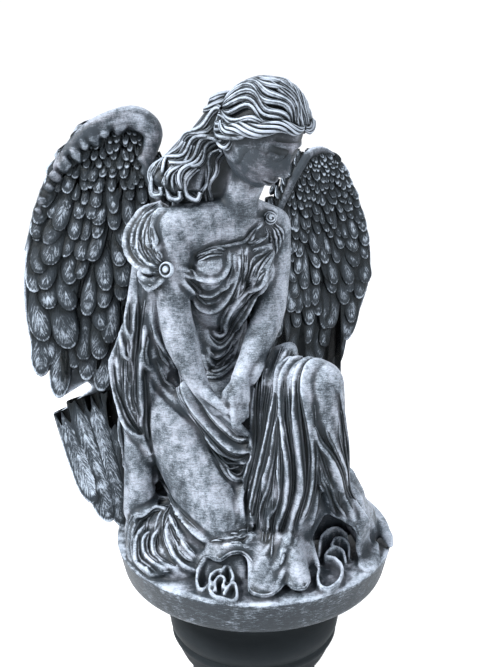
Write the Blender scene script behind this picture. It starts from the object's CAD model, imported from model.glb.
"""Garden angel of cast stone, painted dark and dry-brushed, on its turned pedestal.

Metres, +Z up. The front looks to -Y. Heights in the figure's tables are taken from the top of its
round base, and right and left are the figure's own.
"""

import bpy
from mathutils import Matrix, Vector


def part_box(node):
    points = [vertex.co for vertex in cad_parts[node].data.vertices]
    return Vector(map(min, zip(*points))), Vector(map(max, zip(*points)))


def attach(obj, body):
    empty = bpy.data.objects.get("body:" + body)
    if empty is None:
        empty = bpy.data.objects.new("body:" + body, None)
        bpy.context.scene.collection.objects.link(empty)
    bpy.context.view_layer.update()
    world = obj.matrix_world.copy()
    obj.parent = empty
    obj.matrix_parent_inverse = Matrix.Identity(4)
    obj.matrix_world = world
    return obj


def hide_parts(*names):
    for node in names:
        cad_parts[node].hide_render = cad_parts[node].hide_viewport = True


bl_info = {
    "name": "Garden angel",
    "version": (1, 0, 0),
    "blender": (4, 5, 0),
    "location": "3D View > Sidebar > Garden angel",
    "description": "Models a kneeling winged figure on a round base, its pedestal and its patina",
    "category": "Object",
}

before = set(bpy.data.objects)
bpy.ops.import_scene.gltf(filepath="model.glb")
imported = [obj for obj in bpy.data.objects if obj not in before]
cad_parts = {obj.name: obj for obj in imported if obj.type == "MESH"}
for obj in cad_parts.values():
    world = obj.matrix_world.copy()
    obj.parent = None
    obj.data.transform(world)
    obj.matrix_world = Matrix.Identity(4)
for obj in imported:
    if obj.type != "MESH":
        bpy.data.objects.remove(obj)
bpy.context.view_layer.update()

import math
import random
from collections import namedtuple

import bmesh
import bpy
import numpy as np
from bpy.props import FloatProperty, FloatVectorProperty, IntProperty, PointerProperty
from mathutils import Matrix, Vector
from mathutils.bvhtree import BVHTree

BASE_THICKNESS = 0.052
BASE_RADIUS = 0.1988
BASE_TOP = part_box("angel")[0].z + BASE_THICKNESS
BASE_BEHIND = 0.030          # how far the middle of the base lies behind the origin of the figure's tables
PEDESTAL_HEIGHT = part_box("pedestal")[1].z

# Directions of the pose
TORSO_TURN = math.radians(38)                    # towards the figure's left
TORSO_FORWARD = (math.sin(TORSO_TURN), -math.cos(TORSO_TURN), 0)
TORSO_UP = (0.18, -0.25, 0.95)
HEAD_CENTRE = (0.009, -0.060, 0.572)
HEAD_FORWARD = (0.650, -0.545, -0.530)
HEAD_UP = (0.406, -0.341, 0.848)
HAIR_CAP = (0.0465, 0.0570, 0.0635)              # the head with its hair: half width, depth, height

# Joints of the pose: x, y, height, and the radius of the body there
NECK = (-0.026, 0.000, 0.465, 0.030)
SHOULDER_RIGHT = (-0.100, -0.030, 0.452, 0.028)
SHOULDER_LEFT = (0.022, 0.045, 0.441, 0.027)
ELBOW_RIGHT = (-0.100, -0.043, 0.330, 0.0220)
ELBOW_LEFT = (0.016, 0.002, 0.323, 0.0210)
WRIST_RIGHT = (-0.070, -0.060, 0.250, 0.0125)
WRIST_LEFT = (-0.018, -0.066, 0.264, 0.0125)
HIP_RIGHT = (-0.118, 0.045, 0.185, 0.056)
HIP_LEFT = (-0.032, 0.100, 0.185, 0.056)
KNEE_RIGHT = (-0.046, -0.046, 0.047, 0.044)
KNEE_LEFT = (0.080, -0.085, 0.262, 0.033)
ANKLE_RIGHT = (-0.150, 0.140, 0.030, 0.028)
BROOCH = (-0.109, -0.069, 0.407)
BROOCH_RADIUS = 0.0094
SHOULDER_KNOT = (0.022, 0.010, 0.463)

# A family of folds: how many, their width and lift, how far their crest leans to one side, and both outer
# folds as guides in millimetres. A fold with no second guide is single, and one with a negative lift is a
# groove.
Folds = namedtuple("Folds", "count width lift lean first last")
FOLDS = (
    # the curtain from the lap over the raised thigh to the ground: deep folds, with fine ones between
    Folds(1, 0.0048, 0.0075, 0.2,
          ((12, -30, 290), (2, -60, 268), (-2, -62, 232), (3, -50, 190), (0, -50, 150), (-11, -42, 108),
           (-18, -57, 85), (-14, -76, 50)), None),
    Folds(1, 0.0056, 0.0105, 0.3,
          ((45, -12, 296), (29, -67, 262), (26, -72, 226), (20, -72, 180), (10, -66, 120), (-3, -64, 67),
           (-10, -86, 34)), None),
    Folds(5, 0.0026, 0.0042, 0.0,
          ((20, -30, 288), (8, -62, 262), (4, -66, 228), (8, -60, 185), (4, -54, 140), (-7, -50, 98),
           (-14, -66, 66)),
          ((36, -24, 290), (24, -68, 258), (19, -71, 224), (16, -70, 180), (7, -62, 125), (-4, -60, 76),
           (-10, -80, 44))),
    Folds(1, 0.0046, 0.0075, -0.2,
          ((54, -25, 290), (36, -78, 240), (31, -80, 195), (24, -76, 150), (14, -66, 95)), None),
    Folds(3, 0.0026, 0.0040, 0.0,
          ((50, -30, 288), (33, -76, 230), (28, -76, 180), (20, -72, 130), (8, -66, 80), (0, -84, 40)),
          ((62, -40, 292), (38, -82, 246), (37, -87, 175), (34, -83, 110), (25, -72, 75), (18, -90, 36))),
    Folds(1, 0.0044, 0.0080, 0.2,
          ((70, -22, 300), (46, -56, 283), (34, -78, 256), (36, -86, 226), (43, -94, 195), (46, -93, 158),
           (44, -88, 108), (34, -80, 70), (26, -96, 34)), None),
    Folds(1, 0.0050, 0.0105, 0.2,
          ((82, -50, 300), (60, -88, 288), (54, -105, 260), (55, -104, 214), (59, -102, 168), (60, -99, 128),
           (51, -91, 82), (44, -98, 42)), None),
    Folds(1, 0.0050, 0.0090, -0.3,
          ((88, -72, 299), (68, -95, 290), (62, -109, 270), (63, -113, 246), (68, -111, 215), (72, -107, 178),
           (70, -102, 130), (64, -98, 96), (58, -102, 58)), None),
    Folds(1, 0.0034, -0.0060, 0.0,
          ((62, -100, 285), (58, -108, 255), (60, -108, 214), (66, -105, 168), (66, -100, 125),
           (58, -95, 84)),
          None),
    # over the shin of the raised leg; the kneecap stays smooth
    Folds(1, 0.0056, 0.0080, 0.3,
          ((70, -112, 224), (78, -111, 202), (95, -106, 174), (110, -97, 130), (130, -76, 76),
           (142, -72, 34)),
          None),
    Folds(3, 0.0044, 0.0052, 0.2,
          ((72, -112, 208), (77, -107, 165), (84, -101, 120), (92, -95, 70), (100, -92, 30)),
          ((74, -112, 214), (86, -105, 160), (102, -98, 118), (118, -82, 70), (128, -78, 28))),
    Folds(2, 0.0046, 0.0048, -0.2,
          ((86, -114, 234), (96, -109, 202), (104, -104, 178), (120, -90, 130), (136, -70, 80)),
          ((94, -104, 284), (106, -104, 250), (114, -94, 200), (122, -84, 150), (134, -68, 90),
           (142, -60, 48))),
    # behind the raised leg
    Folds(6, 0.0070, 0.0070, 0.2,
          ((105, -60, 255), (125, -35, 150), (140, -20, 40)),
          ((30, 60, 240), (40, 70, 140), (50, 80, 40))),
    # loops across the lap, under the hands
    Folds(1, 0.0054, 0.0110, -0.2,
          ((-118, -6, 290), (-100, -10, 240), (-83, -22, 207), (-64, -29, 185), (-46, -36, 168),
           (-27, -42, 156), (-11, -45, 155), (1, -47, 166), (5, -48, 191), (6, -50, 226)), None),
    Folds(1, 0.0036, 0.0060, 0.0,
          ((-75, -30, 222), (-50, -40, 190), (-25, -50, 172), (-6, -52, 178), (0, -52, 200)), None),
    Folds(2, 0.0048, 0.0070, -0.2,
          ((-84, -18, 190), (-50, -34, 150), (-30, -42, 136), (-12, -45, 138), (2, -48, 160)),
          ((-66, -28, 158), (-50, -34, 135), (-34, -40, 117), (-21, -41, 112), (-10, -44, 130),
           (0, -50, 152))),
    Folds(4, 0.0034, 0.0050, 0.0,
          ((-138, -4, 280), (-120, 6, 243), (-100, -10, 220), (-76, -22, 190)),
          ((-126, -8, 300), (-108, 2, 262), (-92, -8, 236), (-76, -24, 212))),
    # the long fold round the outside of the kneeling thigh, and the hollow that sets the thigh off
    Folds(1, 0.0056, 0.0100, 0.3,
          ((-146, -4, 300), (-151, -3, 262), (-153, -1, 200), (-148, 0, 157), (-139, 8, 105), (-122, -6, 76),
           (-98, -53, 64), (-73, -80, 51), (-55, -92, 38)), None),
    Folds(1, 0.0040, -0.0050, 0.0,
          ((-148, -3, 257), (-136, 2, 230), (-117, -6, 208), (-95, -14, 192), (-65, -29, 163),
           (-37, -36, 124), (-23, -53, 96), (-20, -72, 72), (-34, -87, 53)), None),
    # the fall behind the right arm
    Folds(4, 0.0046, 0.0080, 0.3,
          ((-176, 12, 300), (-186, 12, 250), (-178, 10, 205), (-170, 6, 172), (-155, 3, 143), (-146, 6, 118)),
          ((-152, 6, 400), (-158, 4, 330), (-160, 0, 270), (-158, -2, 210), (-152, 0, 165))),
    Folds(2, 0.0046, 0.0070, 0.2,
          ((-186, 20, 200), (-186, 16, 165), (-181, 13, 134), (-167, 8, 118), (-148, 12, 96)),
          ((-182, 26, 130), (-182, 18, 96), (-170, 15, 80), (-150, 16, 82))),
    Folds(2, 0.0040, 0.0060, 0.0,
          ((-134, -8, 356), (-136, -8, 323), (-128, -3, 296), (-118, 9, 270), (-106, 20, 242)),
          ((-146, -6, 320), (-148, -6, 276), (-138, -4, 250))),
    # cloth swirled on the base beside the kneeling leg
    Folds(2, 0.0044, 0.0085, 0.3,
          ((-112, -20, 68), (-132, -6, 62), (-150, -8, 57), (-163, -24, 48), (-168, -48, 30),
           (-160, -70, 10)),
          ((-116, -34, 62), (-140, -22, 56), (-155, -30, 50), (-162, -52, 32), (-152, -78, 10),
           (-132, -97, 5))),
    Folds(3, 0.0042, 0.0080, 0.3,
          ((-150, -42, 44), (-156, -60, 25), (-150, -80, 12), (-132, -98, 6), (-112, -106, 5)),
          ((-126, -48, 50), (-133, -66, 32), (-128, -84, 16), (-110, -98, 8), (-90, -104, 5))),
    Folds(3, 0.0040, 0.0070, 0.0,
          ((-118, -50, 52), (-114, -76, 30), (-98, -95, 14), (-76, -103, 6)),
          ((-118, -28, 64), (-107, -61, 48), (-90, -86, 30), (-68, -94, 20))),
    # the petals of the hem: their ridges, and the valleys between them
    Folds(1, 0.0050, 0.0060, 0.2,
          ((48, -92, 70), (42, -106, 46), (32, -118, 28), (18, -134, 14), (13, -148, 7)), None),
    Folds(1, 0.0040, 0.0040, 0.0,
          ((44, -100, 52), (38, -120, 24), (29, -135, 13), (26, -144, 8)), None),
    Folds(1, 0.0046, -0.0045, 0.0,
          ((34, -84, 66), (27, -92, 46), (14, -102, 30), (5, -115, 20), (1, -133, 11)), None),
    Folds(1, 0.0040, -0.0040, 0.0,
          ((50, -96, 66), (45, -103, 46), (46, -108, 28), (51, -118, 18), (60, -128, 12)), None),
    Folds(2, 0.0044, 0.0050, 0.0,
          ((-60, -92, 34), (-40, -96, 38), (-20, -94, 40), (0, -98, 38)),
          ((-50, -84, 46), (-30, -84, 46), (-10, -80, 48), (12, -84, 50))),
    # swags from the brooch across the chest, and the cloth under the neckline
    Folds(1, 0.0028, 0.0036, 0.0,
          ((-78, -33, 419), (-65, -30, 427), (-36, -25, 429), (-14, -10, 436), (1, -11, 448),
           (12, -4, 458)), None),
    Folds(1, 0.0030, 0.0060, -0.2,
          ((-95, -58, 406), (-81, -44, 398), (-67, -49, 390), (-52, -49, 388), (-42, -45, 393),
           (-36, -35, 406), (-34, -25, 426)), None),
    Folds(1, 0.0034, 0.0085, -0.2,
          ((-94, -57, 401), (-83, -45, 388), (-73, -34, 373), (-62, -33, 365), (-50, -33, 368),
           (-37, -34, 381), (-31, -29, 400), (-29, -22, 427)), None),
    Folds(1, 0.0036, 0.0095, -0.2,
          ((-93, -57, 396), (-86, -51, 380), (-76, -27, 356), (-63, -26, 343), (-49, -27, 346),
           (-37, -28, 361), (-27, -26, 384), (-23, -24, 406), (-24, -19, 428)), None),
    Folds(1, 0.0022, 0.0040, 0.0,
          ((-92, -55, 397), (-84, -47, 383), (-73, -31, 365), (-62, -30, 356), (-48, -30, 358),
           (-36, -30, 372)),
          None),
    Folds(2, 0.0030, 0.0070, 0.0,
          ((-19, -15, 429), (-18, -20, 408), (-21, -23, 383), (-26, -23, 363), (-31, -23, 350)),
          ((-14, -11, 431), (-13, -15, 412), (-14, -20, 392), (-21, -21, 365), (-29, -21, 349))),
    Folds(4, 0.0020, 0.0030, 0.3,
          ((-75, -32, 417), (-62, -31, 423), (-48, -30, 425), (-36, -27, 423)),
          ((-72, -44, 406), (-60, -41, 414), (-38, -29, 417))),
    # the loops that hang outside the right shoulder
    Folds(6, 0.0030, 0.0072, -0.2,
          ((-118, -2, 486), (-143, -8, 468), (-160, -18, 440), (-155, -34, 416), (-134, -56, 404),
           (-112, -64, 404)),
          ((-110, -32, 478), (-120, -40, 456), (-122, -48, 436), (-118, -56, 422), (-110, -62, 412))),
    Folds(2, 0.0030, 0.0070, 0.0,
          ((-110, -64, 398), (-126, -56, 384), (-140, -40, 380), (-150, -14, 390)),
          ((-112, -64, 401), (-130, -57, 393), (-146, -44, 394), (-156, -22, 406))),
    # gathers from the knot on the left shoulder
    Folds(1, 0.0026, 0.0046, 0.0,
          ((13, -3, 456), (1, -10, 447), (-8, -6, 437), (-10, -8, 430), (-3, 0, 427), (7, 9, 432)), None),
    Folds(2, 0.0024, 0.0040, 0.0,
          ((15, -1, 453), (8, 5, 435), (-2, 0, 425), (-11, -11, 423)),
          ((16, 1, 450), (11, 16, 425), (1, 0, 417), (-11, -13, 416))),
    Folds(4, 0.0024, 0.0044, 0.0,
          ((16, 1, 450), (12, 16, 424), (5, -4, 413), (-5, -17, 404), (-10, -18, 385), (-14, -16, 368)),
          ((18, 3, 448), (20, 16, 420), (17, -10, 403), (11, -20, 387), (1, -17, 371), (-12, -12, 357))),
    Folds(1, 0.0034, 0.0060, 0.0,
          ((18, 3, 448), (20, 16, 420), (17, -10, 403), (11, -20, 387), (1, -17, 371), (-12, -12, 357),
           (-27, -19, 346), (-37, -16, 331)), None),
    Folds(3, 0.0026, 0.0044, 0.0,
          ((21, 5, 450), (26, 15, 435), (27, 16, 419), (24, 10, 401)),
          ((25, 8, 452), (34, 20, 438), (37, 20, 422))),
    Folds(2, 0.0030, 0.0050, 0.0,
          ((11, -20, 382), (-8, -9, 359), (-23, -17, 347), (-35, -18, 334), (-38, -5, 316), (-50, 0, 304)),
          ((1, 0, 359), (-9, -4, 345), (-13, 9, 323), (-17, 28, 295))),
    # deep loops over the belly, between the forearms
    Folds(1, 0.0046, 0.0095, -0.2,
          ((18, -16, 398), (8, -20, 378), (-8, -16, 368), (-22, -21, 356), (-34, -22, 341), (-40, -14, 326),
           (-40, 4, 308), (-48, 0, 302), (-58, -3, 310)), None),
    Folds(1, 0.0046, 0.0095, -0.2,
          ((18, -18, 390), (3, -4, 360), (-8, -6, 344), (-20, -4, 325), (-31, 8, 303), (-40, 3, 290),
           (-50, -1, 287), (-60, -3, 297), (-64, -4, 312)), None),
    Folds(4, 0.0042, 0.0080, -0.2,
          ((-62, -4, 298), (-60, -4, 284), (-52, 0, 273), (-40, 6, 276), (-28, 14, 292), (-12, 36, 312)),
          ((-76, 0, 268), (-62, 6, 238), (-44, 10, 234), (-26, 10, 256), (-6, 6, 290))),
    # the back, under the wings
    Folds(6, 0.0080, 0.0075, 0.2,
          ((-100, 60, 400), (-110, 90, 290), (-130, 110, 200), (-150, 150, 110), (-165, 165, 30)),
          ((-20, 70, 400), (-10, 100, 290), (-5, 140, 200), (10, 150, 110), (20, 160, 30))),
)

# Outline of each wing, as a run along its leading edge from the root over the arch to the first tip,
# and then its lower edge back to the root. Each point is (distance out from the root, height).
WING_ROOT_RIGHT = (-0.120, 0.065)
WING_ROOT_LEFT = (0.020, 0.085)
WING_TURN_RIGHT = -3.0       # degrees that a wing is turned back
WING_TURN_LEFT = 40.0
# Outlines in the wing's plane, outwards from its root and up, in millimetres
LEADING_RIGHT = ((0, 460), (16, 515), (4, 557), (14, 582), (45, 594), (97, 576), (134, 540), (161, 497),
                 (183, 436), (194, 360), (191, 290), (178, 229))
LOWER_RIGHT = ((150, 253), (142, 250), (136, 243), (156, 197), (116, 219), (110, 210), (159, 177),
               (133, 124), (114, 69), (78, 12), (30, 5), (-40, 15), (-40, 300), (-20, 440))
LEADING_LEFT = ((0, 420), (30, 472), (52, 508), (75, 530), (100, 536), (127, 524), (155, 490), (178, 439),
                (190, 383), (186, 329), (162, 270), (128, 225))
LOWER_LEFT = ((112, 205), (105, 150), (90, 95), (60, 50), (20, 35), (-40, 35), (-40, 300), (-20, 400))

# Families of slender folds between the big ones: how many, their radius, and both outer folds in millimetres
FineFolds = namedtuple("FineFolds", "count radius first last")
FINE_FOLDS = (
    # the curtain, fanning out from the lap to the ground
    FineFolds(7, 0.0011, ((12, -30, 290), (2, -60, 266), (-1, -62, 228), (2, -56, 185), (0, -50, 145),
                          (-10, -44, 104), (-17, -60, 66)),
              ((45, -12, 296), (29, -67, 262), (26, -72, 226), (20, -72, 180), (10, -66, 120), (-3, -64, 67),
               (-10, -86, 44))),
    FineFolds(4, 0.0011, ((46, -20, 292), (32, -72, 250), (29, -76, 205), (23, -74, 155), (13, -66, 105),
                          (2, -70, 62)),
              ((58, -30, 292), (40, -80, 245), (37, -84, 195), (33, -82, 150), (25, -76, 100),
               (14, -84, 52))),
    FineFolds(4, 0.0012, ((62, -28, 294), (40, -66, 270), (32, -78, 228), (34, -86, 190), (32, -82, 140),
                          (26, -78, 90), (16, -92, 44)),
              ((74, -36, 300), (54, -70, 282), (46, -92, 250), (50, -100, 200), (54, -98, 160),
               (50, -92, 110), (40, -90, 66))),
    FineFolds(2, 0.0012, ((62, -104, 262), (64, -108, 216), (68, -106, 168), (64, -100, 120), (58, -96, 84)),
              ((72, -110, 240), (76, -110, 206), (84, -104, 170), (84, -100, 122), (80, -94, 78))),
    # over the shin
    FineFolds(4, 0.0012, ((84, -112, 200), (88, -106, 165), (96, -100, 125), (102, -94, 92)),
              ((108, -98, 240), (114, -92, 200), (124, -84, 150), (136, -68, 96), (143, -62, 56))),
    # across the lap
    FineFolds(6, 0.0011, ((-116, -6, 280), (-100, -10, 236), (-83, -22, 203), (-64, -29, 181),
                          (-46, -36, 164), (-27, -42, 152), (-11, -45, 151), (0, -47, 164)),
              ((-80, -22, 184), (-62, -30, 156), (-48, -34, 133), (-34, -40, 120), (-21, -41, 116),
               (-10, -44, 132), (-2, -50, 150))),
    # the fall behind the right arm
    FineFolds(6, 0.0011, ((-176, 12, 300), (-184, 12, 250), (-177, 10, 205), (-168, 6, 172), (-155, 3, 143)),
              ((-140, -6, 356), (-146, -4, 323), (-147, -3, 270), (-150, -2, 210), (-150, 0, 168))),
    # the swirl on the base
    FineFolds(6, 0.0012, ((-116, -20, 66), (-134, -8, 62), (-152, -12, 55), (-163, -30, 44), (-165, -52, 26),
                          (-156, -74, 10)),
              ((-116, -30, 64), (-105, -61, 47), (-88, -85, 30), (-68, -93, 21))),
    # the petals of the hem
    FineFolds(4, 0.0012, ((10, -78, 54), (6, -98, 36), (0, -122, 20), (0, -144, 8)),
              ((28, -92, 56), (25, -110, 34), (22, -132, 16), (22, -148, 8))),
    FineFolds(2, 0.0012, ((44, -98, 58), (42, -114, 30), (45, -128, 14), (50, -140, 9)),
              ((56, -90, 54), (58, -110, 26), (62, -126, 14), (62, -138, 9))),
    FineFolds(3, 0.0012, ((-58, -90, 40), (-42, -84, 44), (-20, -84, 42)), ((-50, -72, 48), (-30, -66, 50),
                                                                            (0, -72, 52))),
    # the loops outside the right shoulder
    FineFolds(5, 0.0011, ((-118, -2, 486), (-143, -8, 468), (-160, -18, 440), (-155, -34, 416),
                          (-134, -56, 404), (-114, -62, 404)),
              ((-110, -32, 478), (-120, -40, 456), (-122, -48, 436), (-118, -56, 422), (-111, -61, 412))),
)

# The hem in front: sheets drawn from a free edge back to the dress, in millimetres
Sheet = namedtuple("Sheet", "edge back count")
HEM_SHEETS = (
    # over the rosette, and forward in petals
    Sheet(((-76, -101, 14), (-68, -96, 24), (-60, -99, 28), (-53, -103, 26), (-45, -109, 28), (-37, -105, 32),
           (-26, -102, 35), (-15, -102, 34), (-7, -108, 30), (-2, -116, 25), (-3, -126, 19), (-6, -135, 12),
           (-6, -146, 7), (0, -152, 5), (10, -156, 5), (19, -154, 5), (29, -146, 6), (36, -136, 9),
           (39, -129, 12), (44, -131, 11), (47, -140, 8), (55, -144, 7), (64, -142, 7)),
          ((-66, -90, 32), (-46, -88, 44), (-22, -80, 44), (7, -75, 50), (29, -92, 54), (44, -98, 58)), 26),
    # the petal beside the arch
    Sheet(((64, -142, 7), (70, -128, 11), (68, -107, 13), (72, -96, 15), (80, -94, 15), (85, -104, 14)),
          ((44, -98, 58), (52, -90, 54), (60, -78, 56), (66, -72, 48), (72, -68, 38), (78, -66, 30)), 18),
    # the hem raised in an arch under the shin
    Sheet(((75, -66, 46), (78, -67, 62), (90, -64, 71), (108, -69, 75), (124, -74, 69), (134, -77, 58),
           (140, -75, 42), (139, -70, 26), (143, -66, 8)),
          ((62, -72, 88), (76, -72, 98), (99, -76, 106), (123, -72, 98), (139, -70, 84), (151, -66, 64),
           (154, -58, 46), (155, -48, 28), (160, -34, 10)), 9),
)
# Folds that stand on the petals of the hem, from the dress to the free edge, in millimetres
PETAL_FOLDS = (
    ((48, -92, 66), (42, -104, 46), (31, -118, 31), (18, -134, 18), (12, -149, 9)),
    ((46, -98, 58), (41, -116, 31), (33, -133, 17), (27, -146, 9)),
    ((52, -98, 52), (53, -116, 28), (56, -132, 15), (58, -141, 9)),
    ((30, -86, 57), (20, -98, 43), (8, -112, 30), (1, -130, 18), (0, -147, 9)),
    ((0, -80, 50), (-10, -90, 42), (-14, -98, 38)),
    ((-30, -80, 50), (-42, -90, 42), (-50, -100, 31)),
    ((-12, -78, 52), (-26, -88, 45), (-30, -99, 38)),
)
# Ribbons of hem that stand on the base: their top edge, in millimetres
HEM_RIBBONS = (
    # the rosette
    ((-62, -97, 26), (-73, -107, 18), (-75, -123, 12), (-73, -136, 9), (-67, -142, 7), (-60, -137, 10),
     (-56, -149, 9), (-49, -158, 8), (-42, -160, 8), (-29, -166, 7), (-23, -159, 7), (-23, -145, 9),
     (-26, -133, 11), (-33, -139, 11), (-39, -153, 9)),
    ((-56, -141, 12), (-58, -128, 15), (-55, -121, 18), (-48, -115, 19), (-42, -114, 19), (-37, -104, 20),
     (-32, -109, 18), (-28, -124, 15), (-31, -132, 12)),
    ((-50, -146, 10), (-51, -131, 13), (-45, -123, 15), (-39, -127, 14), (-41, -141, 11)),
    # the loop that comes forward from the arch
    ((85, -104, 14), (82, -122, 12), (85, -139, 11), (95, -143, 11), (108, -129, 12), (115, -109, 13),
     (115, -94, 15), (108, -82, 17), (97, -78, 18)),
    # rolls of cloth under the arch
    ((95, -74, 16), (101, -66, 20), (111, -61, 22), (120, -65, 18), (123, -73, 9)),
    ((105, -58, 24), (112, -48, 28), (122, -47, 27), (129, -53, 20), (129, -61, 8)),
    ((88, -62, 22), (92, -48, 30), (103, -38, 36), (116, -34, 36), (128, -38, 28)),
)


# Settings that a user would change

class AngelSizes(bpy.types.PropertyGroup):
    grain: FloatProperty(name="Grain", description="Net on which the casting is modelled",
                         default=0.0020, min=0.001, max=0.006, unit="LENGTH")
    triangles: IntProperty(name="Triangles", description="Facets of the whole casting",
                           default=194000, min=120000)
    wing_sheet: FloatProperty(name="Wing plate", description="Thickness of a wing under its feathers",
                              default=0.0055, unit="LENGTH")


class PatinaColours(bpy.types.PropertyGroup):
    recess: FloatVectorProperty(name="Recess", description="Dark paint left in the hollows",
                                default=(0.0080, 0.0110, 0.0130), subtype="COLOR")
    ground: FloatVectorProperty(name="Ground", description="Paint under the brushed finish",
                                default=(0.030, 0.038, 0.047), subtype="COLOR")
    brushed: FloatVectorProperty(name="Brushed", description="Pale paint dragged over the raised parts",
                                 default=(0.450, 0.520, 0.610), subtype="COLOR")
    bloom: FloatVectorProperty(name="Bloom", description="Warm cloudy patches on smooth parts",
                               default=(0.300, 0.285, 0.330), subtype="COLOR")


class StageSettings(bpy.types.PropertyGroup):
    distance: FloatProperty(name="Distance", description="From the camera to the statue's axis",
                            default=1.18, unit="LENGTH")
    pitch: FloatProperty(name="Pitch", description="How far the camera looks down",
                         default=math.radians(16.73), subtype="ANGLE")
    lens: FloatProperty(name="Lens", description="Focal length on a 36 mm sensor",
                        default=48.5757, unit="CAMERA")


# Curves and directions

def spline(points, count):
    """count points along a smooth curve through the given ones."""
    known = np.array(points, float)
    known = np.vstack([2 * known[0] - known[1], known, 2 * known[-1] - known[-2]])
    at = np.linspace(0, len(points) - 1, count)
    span = np.minimum(at.astype(int), len(points) - 2)
    t = (at - span)[:, None]
    a, b, c, d = (known[span + k] for k in range(4))
    return 0.5 * (2 * b + (c - a) * t + (2 * a - 5 * b + 4 * c - d) * t**2 + (3 * b - a - 3 * c + d) * t**3)


def metres(points):
    """The points of a table in millimetres, in metres."""
    return np.array(points) / 1000


def ease(x, low, high):
    """0 below low, 1 above high, and smooth between."""
    t = np.clip((np.asarray(x, float) - low) / (high - low), 0, 1)
    return t * t * (3 - 2 * t)


def unit(vectors):
    return vectors / np.maximum(np.linalg.norm(vectors, axis=-1, keepdims=True), 1e-12)


def axes_of(forward, up):
    """A matrix whose columns are the side (the figure's left), forward and up."""
    f = Vector(forward).normalized()
    u = Vector(up)
    u = (u - u.dot(f) * f).normalized()
    return Matrix((u.cross(f), f, u)).transposed()


HEAD_AXES = axes_of(HEAD_FORWARD, HEAD_UP)
TORSO_AXES = axes_of(TORSO_FORWARD, TORSO_UP)


def in_head(side, forward, up):
    """A place given from the head's centre, along the head's own axes."""
    return tuple(Vector(HEAD_CENTRE) + HEAD_AXES @ Vector((side, forward, up)))


def heads_places(local):
    """World places of many points given along the head's own axes."""
    return np.asarray(local) @ np.array(HEAD_AXES).T + np.array(HEAD_CENTRE)


def between(first, last, count, steps):
    """count paths that change evenly from the first guide to the last."""
    a = spline(first, steps)
    if last is None:
        return [a]
    b = spline(last, steps)
    return [a * (1 - share) + b * share for share in np.linspace(0, 1, count)]


# Masses. Each function adds closed shapes to a mesh, and the fusing joins what overlaps.

def add_mesh(bm, mesh):
    bm.from_mesh(mesh)
    bpy.data.meshes.remove(mesh)


def taut(bm, *balls, detail=3):
    """Cloth or flesh drawn tight round some balls: their convex hull."""
    own = bmesh.new()
    for x, y, z, radius in balls:
        centre = Matrix.Translation((x, y, z))
        bmesh.ops.create_icosphere(own, subdivisions=detail, radius=radius, matrix=centre)
    hull = bmesh.ops.convex_hull(own, input=own.verts)
    inside = [v for v in hull["geom_interior"] if isinstance(v, bmesh.types.BMVert)]
    bmesh.ops.delete(own, geom=inside, context="VERTS")
    mesh = bpy.data.meshes.new("taut")
    own.to_mesh(mesh)
    own.free()
    add_mesh(bm, mesh)


def limb(bm, *balls):
    """A chain of balls, each joined to the next by a straight taper."""
    for near, far in zip(balls, balls[1:]):
        taut(bm, near, far)


def egg(bm, centre, half_sizes, axes=None):
    """A ball stretched to its half sizes along the given axes."""
    turned = axes.to_4x4() if axes else Matrix.Identity(4)
    shape = Matrix.Translation(centre) @ turned @ Matrix.Diagonal((*half_sizes, 1))
    bmesh.ops.create_icosphere(bm, subdivisions=4, radius=1, matrix=shape)


def ring_faces(count, sides):
    """Faces between count rings of corners."""
    return [(i * sides + j, i * sides + (j + 1) % sides, (i + 1) * sides + (j + 1) % sides,
             (i + 1) * sides + j) for i in range(count - 1) for j in range(sides)]


def bar(path, radii, sides, flat=1.0, normal=None):
    """Corners and faces of a closed bar along a path. Flat squeezes it along the given normals."""
    path = np.asarray(path, float)
    radii = np.asarray(radii, float)
    tangent = unit(np.gradient(path, axis=0))
    if normal is None:
        start = np.array((0, 0, 1.0)) if abs(tangent[0][2]) < 0.9 else np.array((1.0, 0, 0))
        across = [unit(np.cross(tangent[0], start))]
        for step in tangent[1:]:
            across.append(unit(across[-1] - step * np.dot(across[-1], step)))
        across = np.array(across)
        over = np.cross(tangent, across)
    else:
        normal = np.broadcast_to(np.asarray(normal, float), path.shape)
        across = unit(np.cross(tangent, normal))
        over = np.cross(across, tangent)
    angle = np.linspace(0, 2 * math.pi, sides, endpoint=False)
    wide = np.cos(angle)
    high = np.sin(angle) * flat
    ring = path[:, None] + radii[:, None, None] * (wide[None, :, None] * across[:, None]
                                                   + high[None, :, None] * over[:, None])
    count = len(path)
    faces = ring_faces(count, sides)
    faces.append(tuple(range(sides - 1, -1, -1)))
    faces.append(tuple((count - 1) * sides + j for j in range(sides)))
    return ring.reshape(-1, 3), faces


def rope(bm, path, radii, sides=10):
    """A round bar added to a mass."""
    corners, faces = bar(path, radii, sides)
    mesh = bpy.data.meshes.new("rope")
    mesh.from_pydata(corners.tolist(), [], faces)
    add_mesh(bm, mesh)


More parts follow.
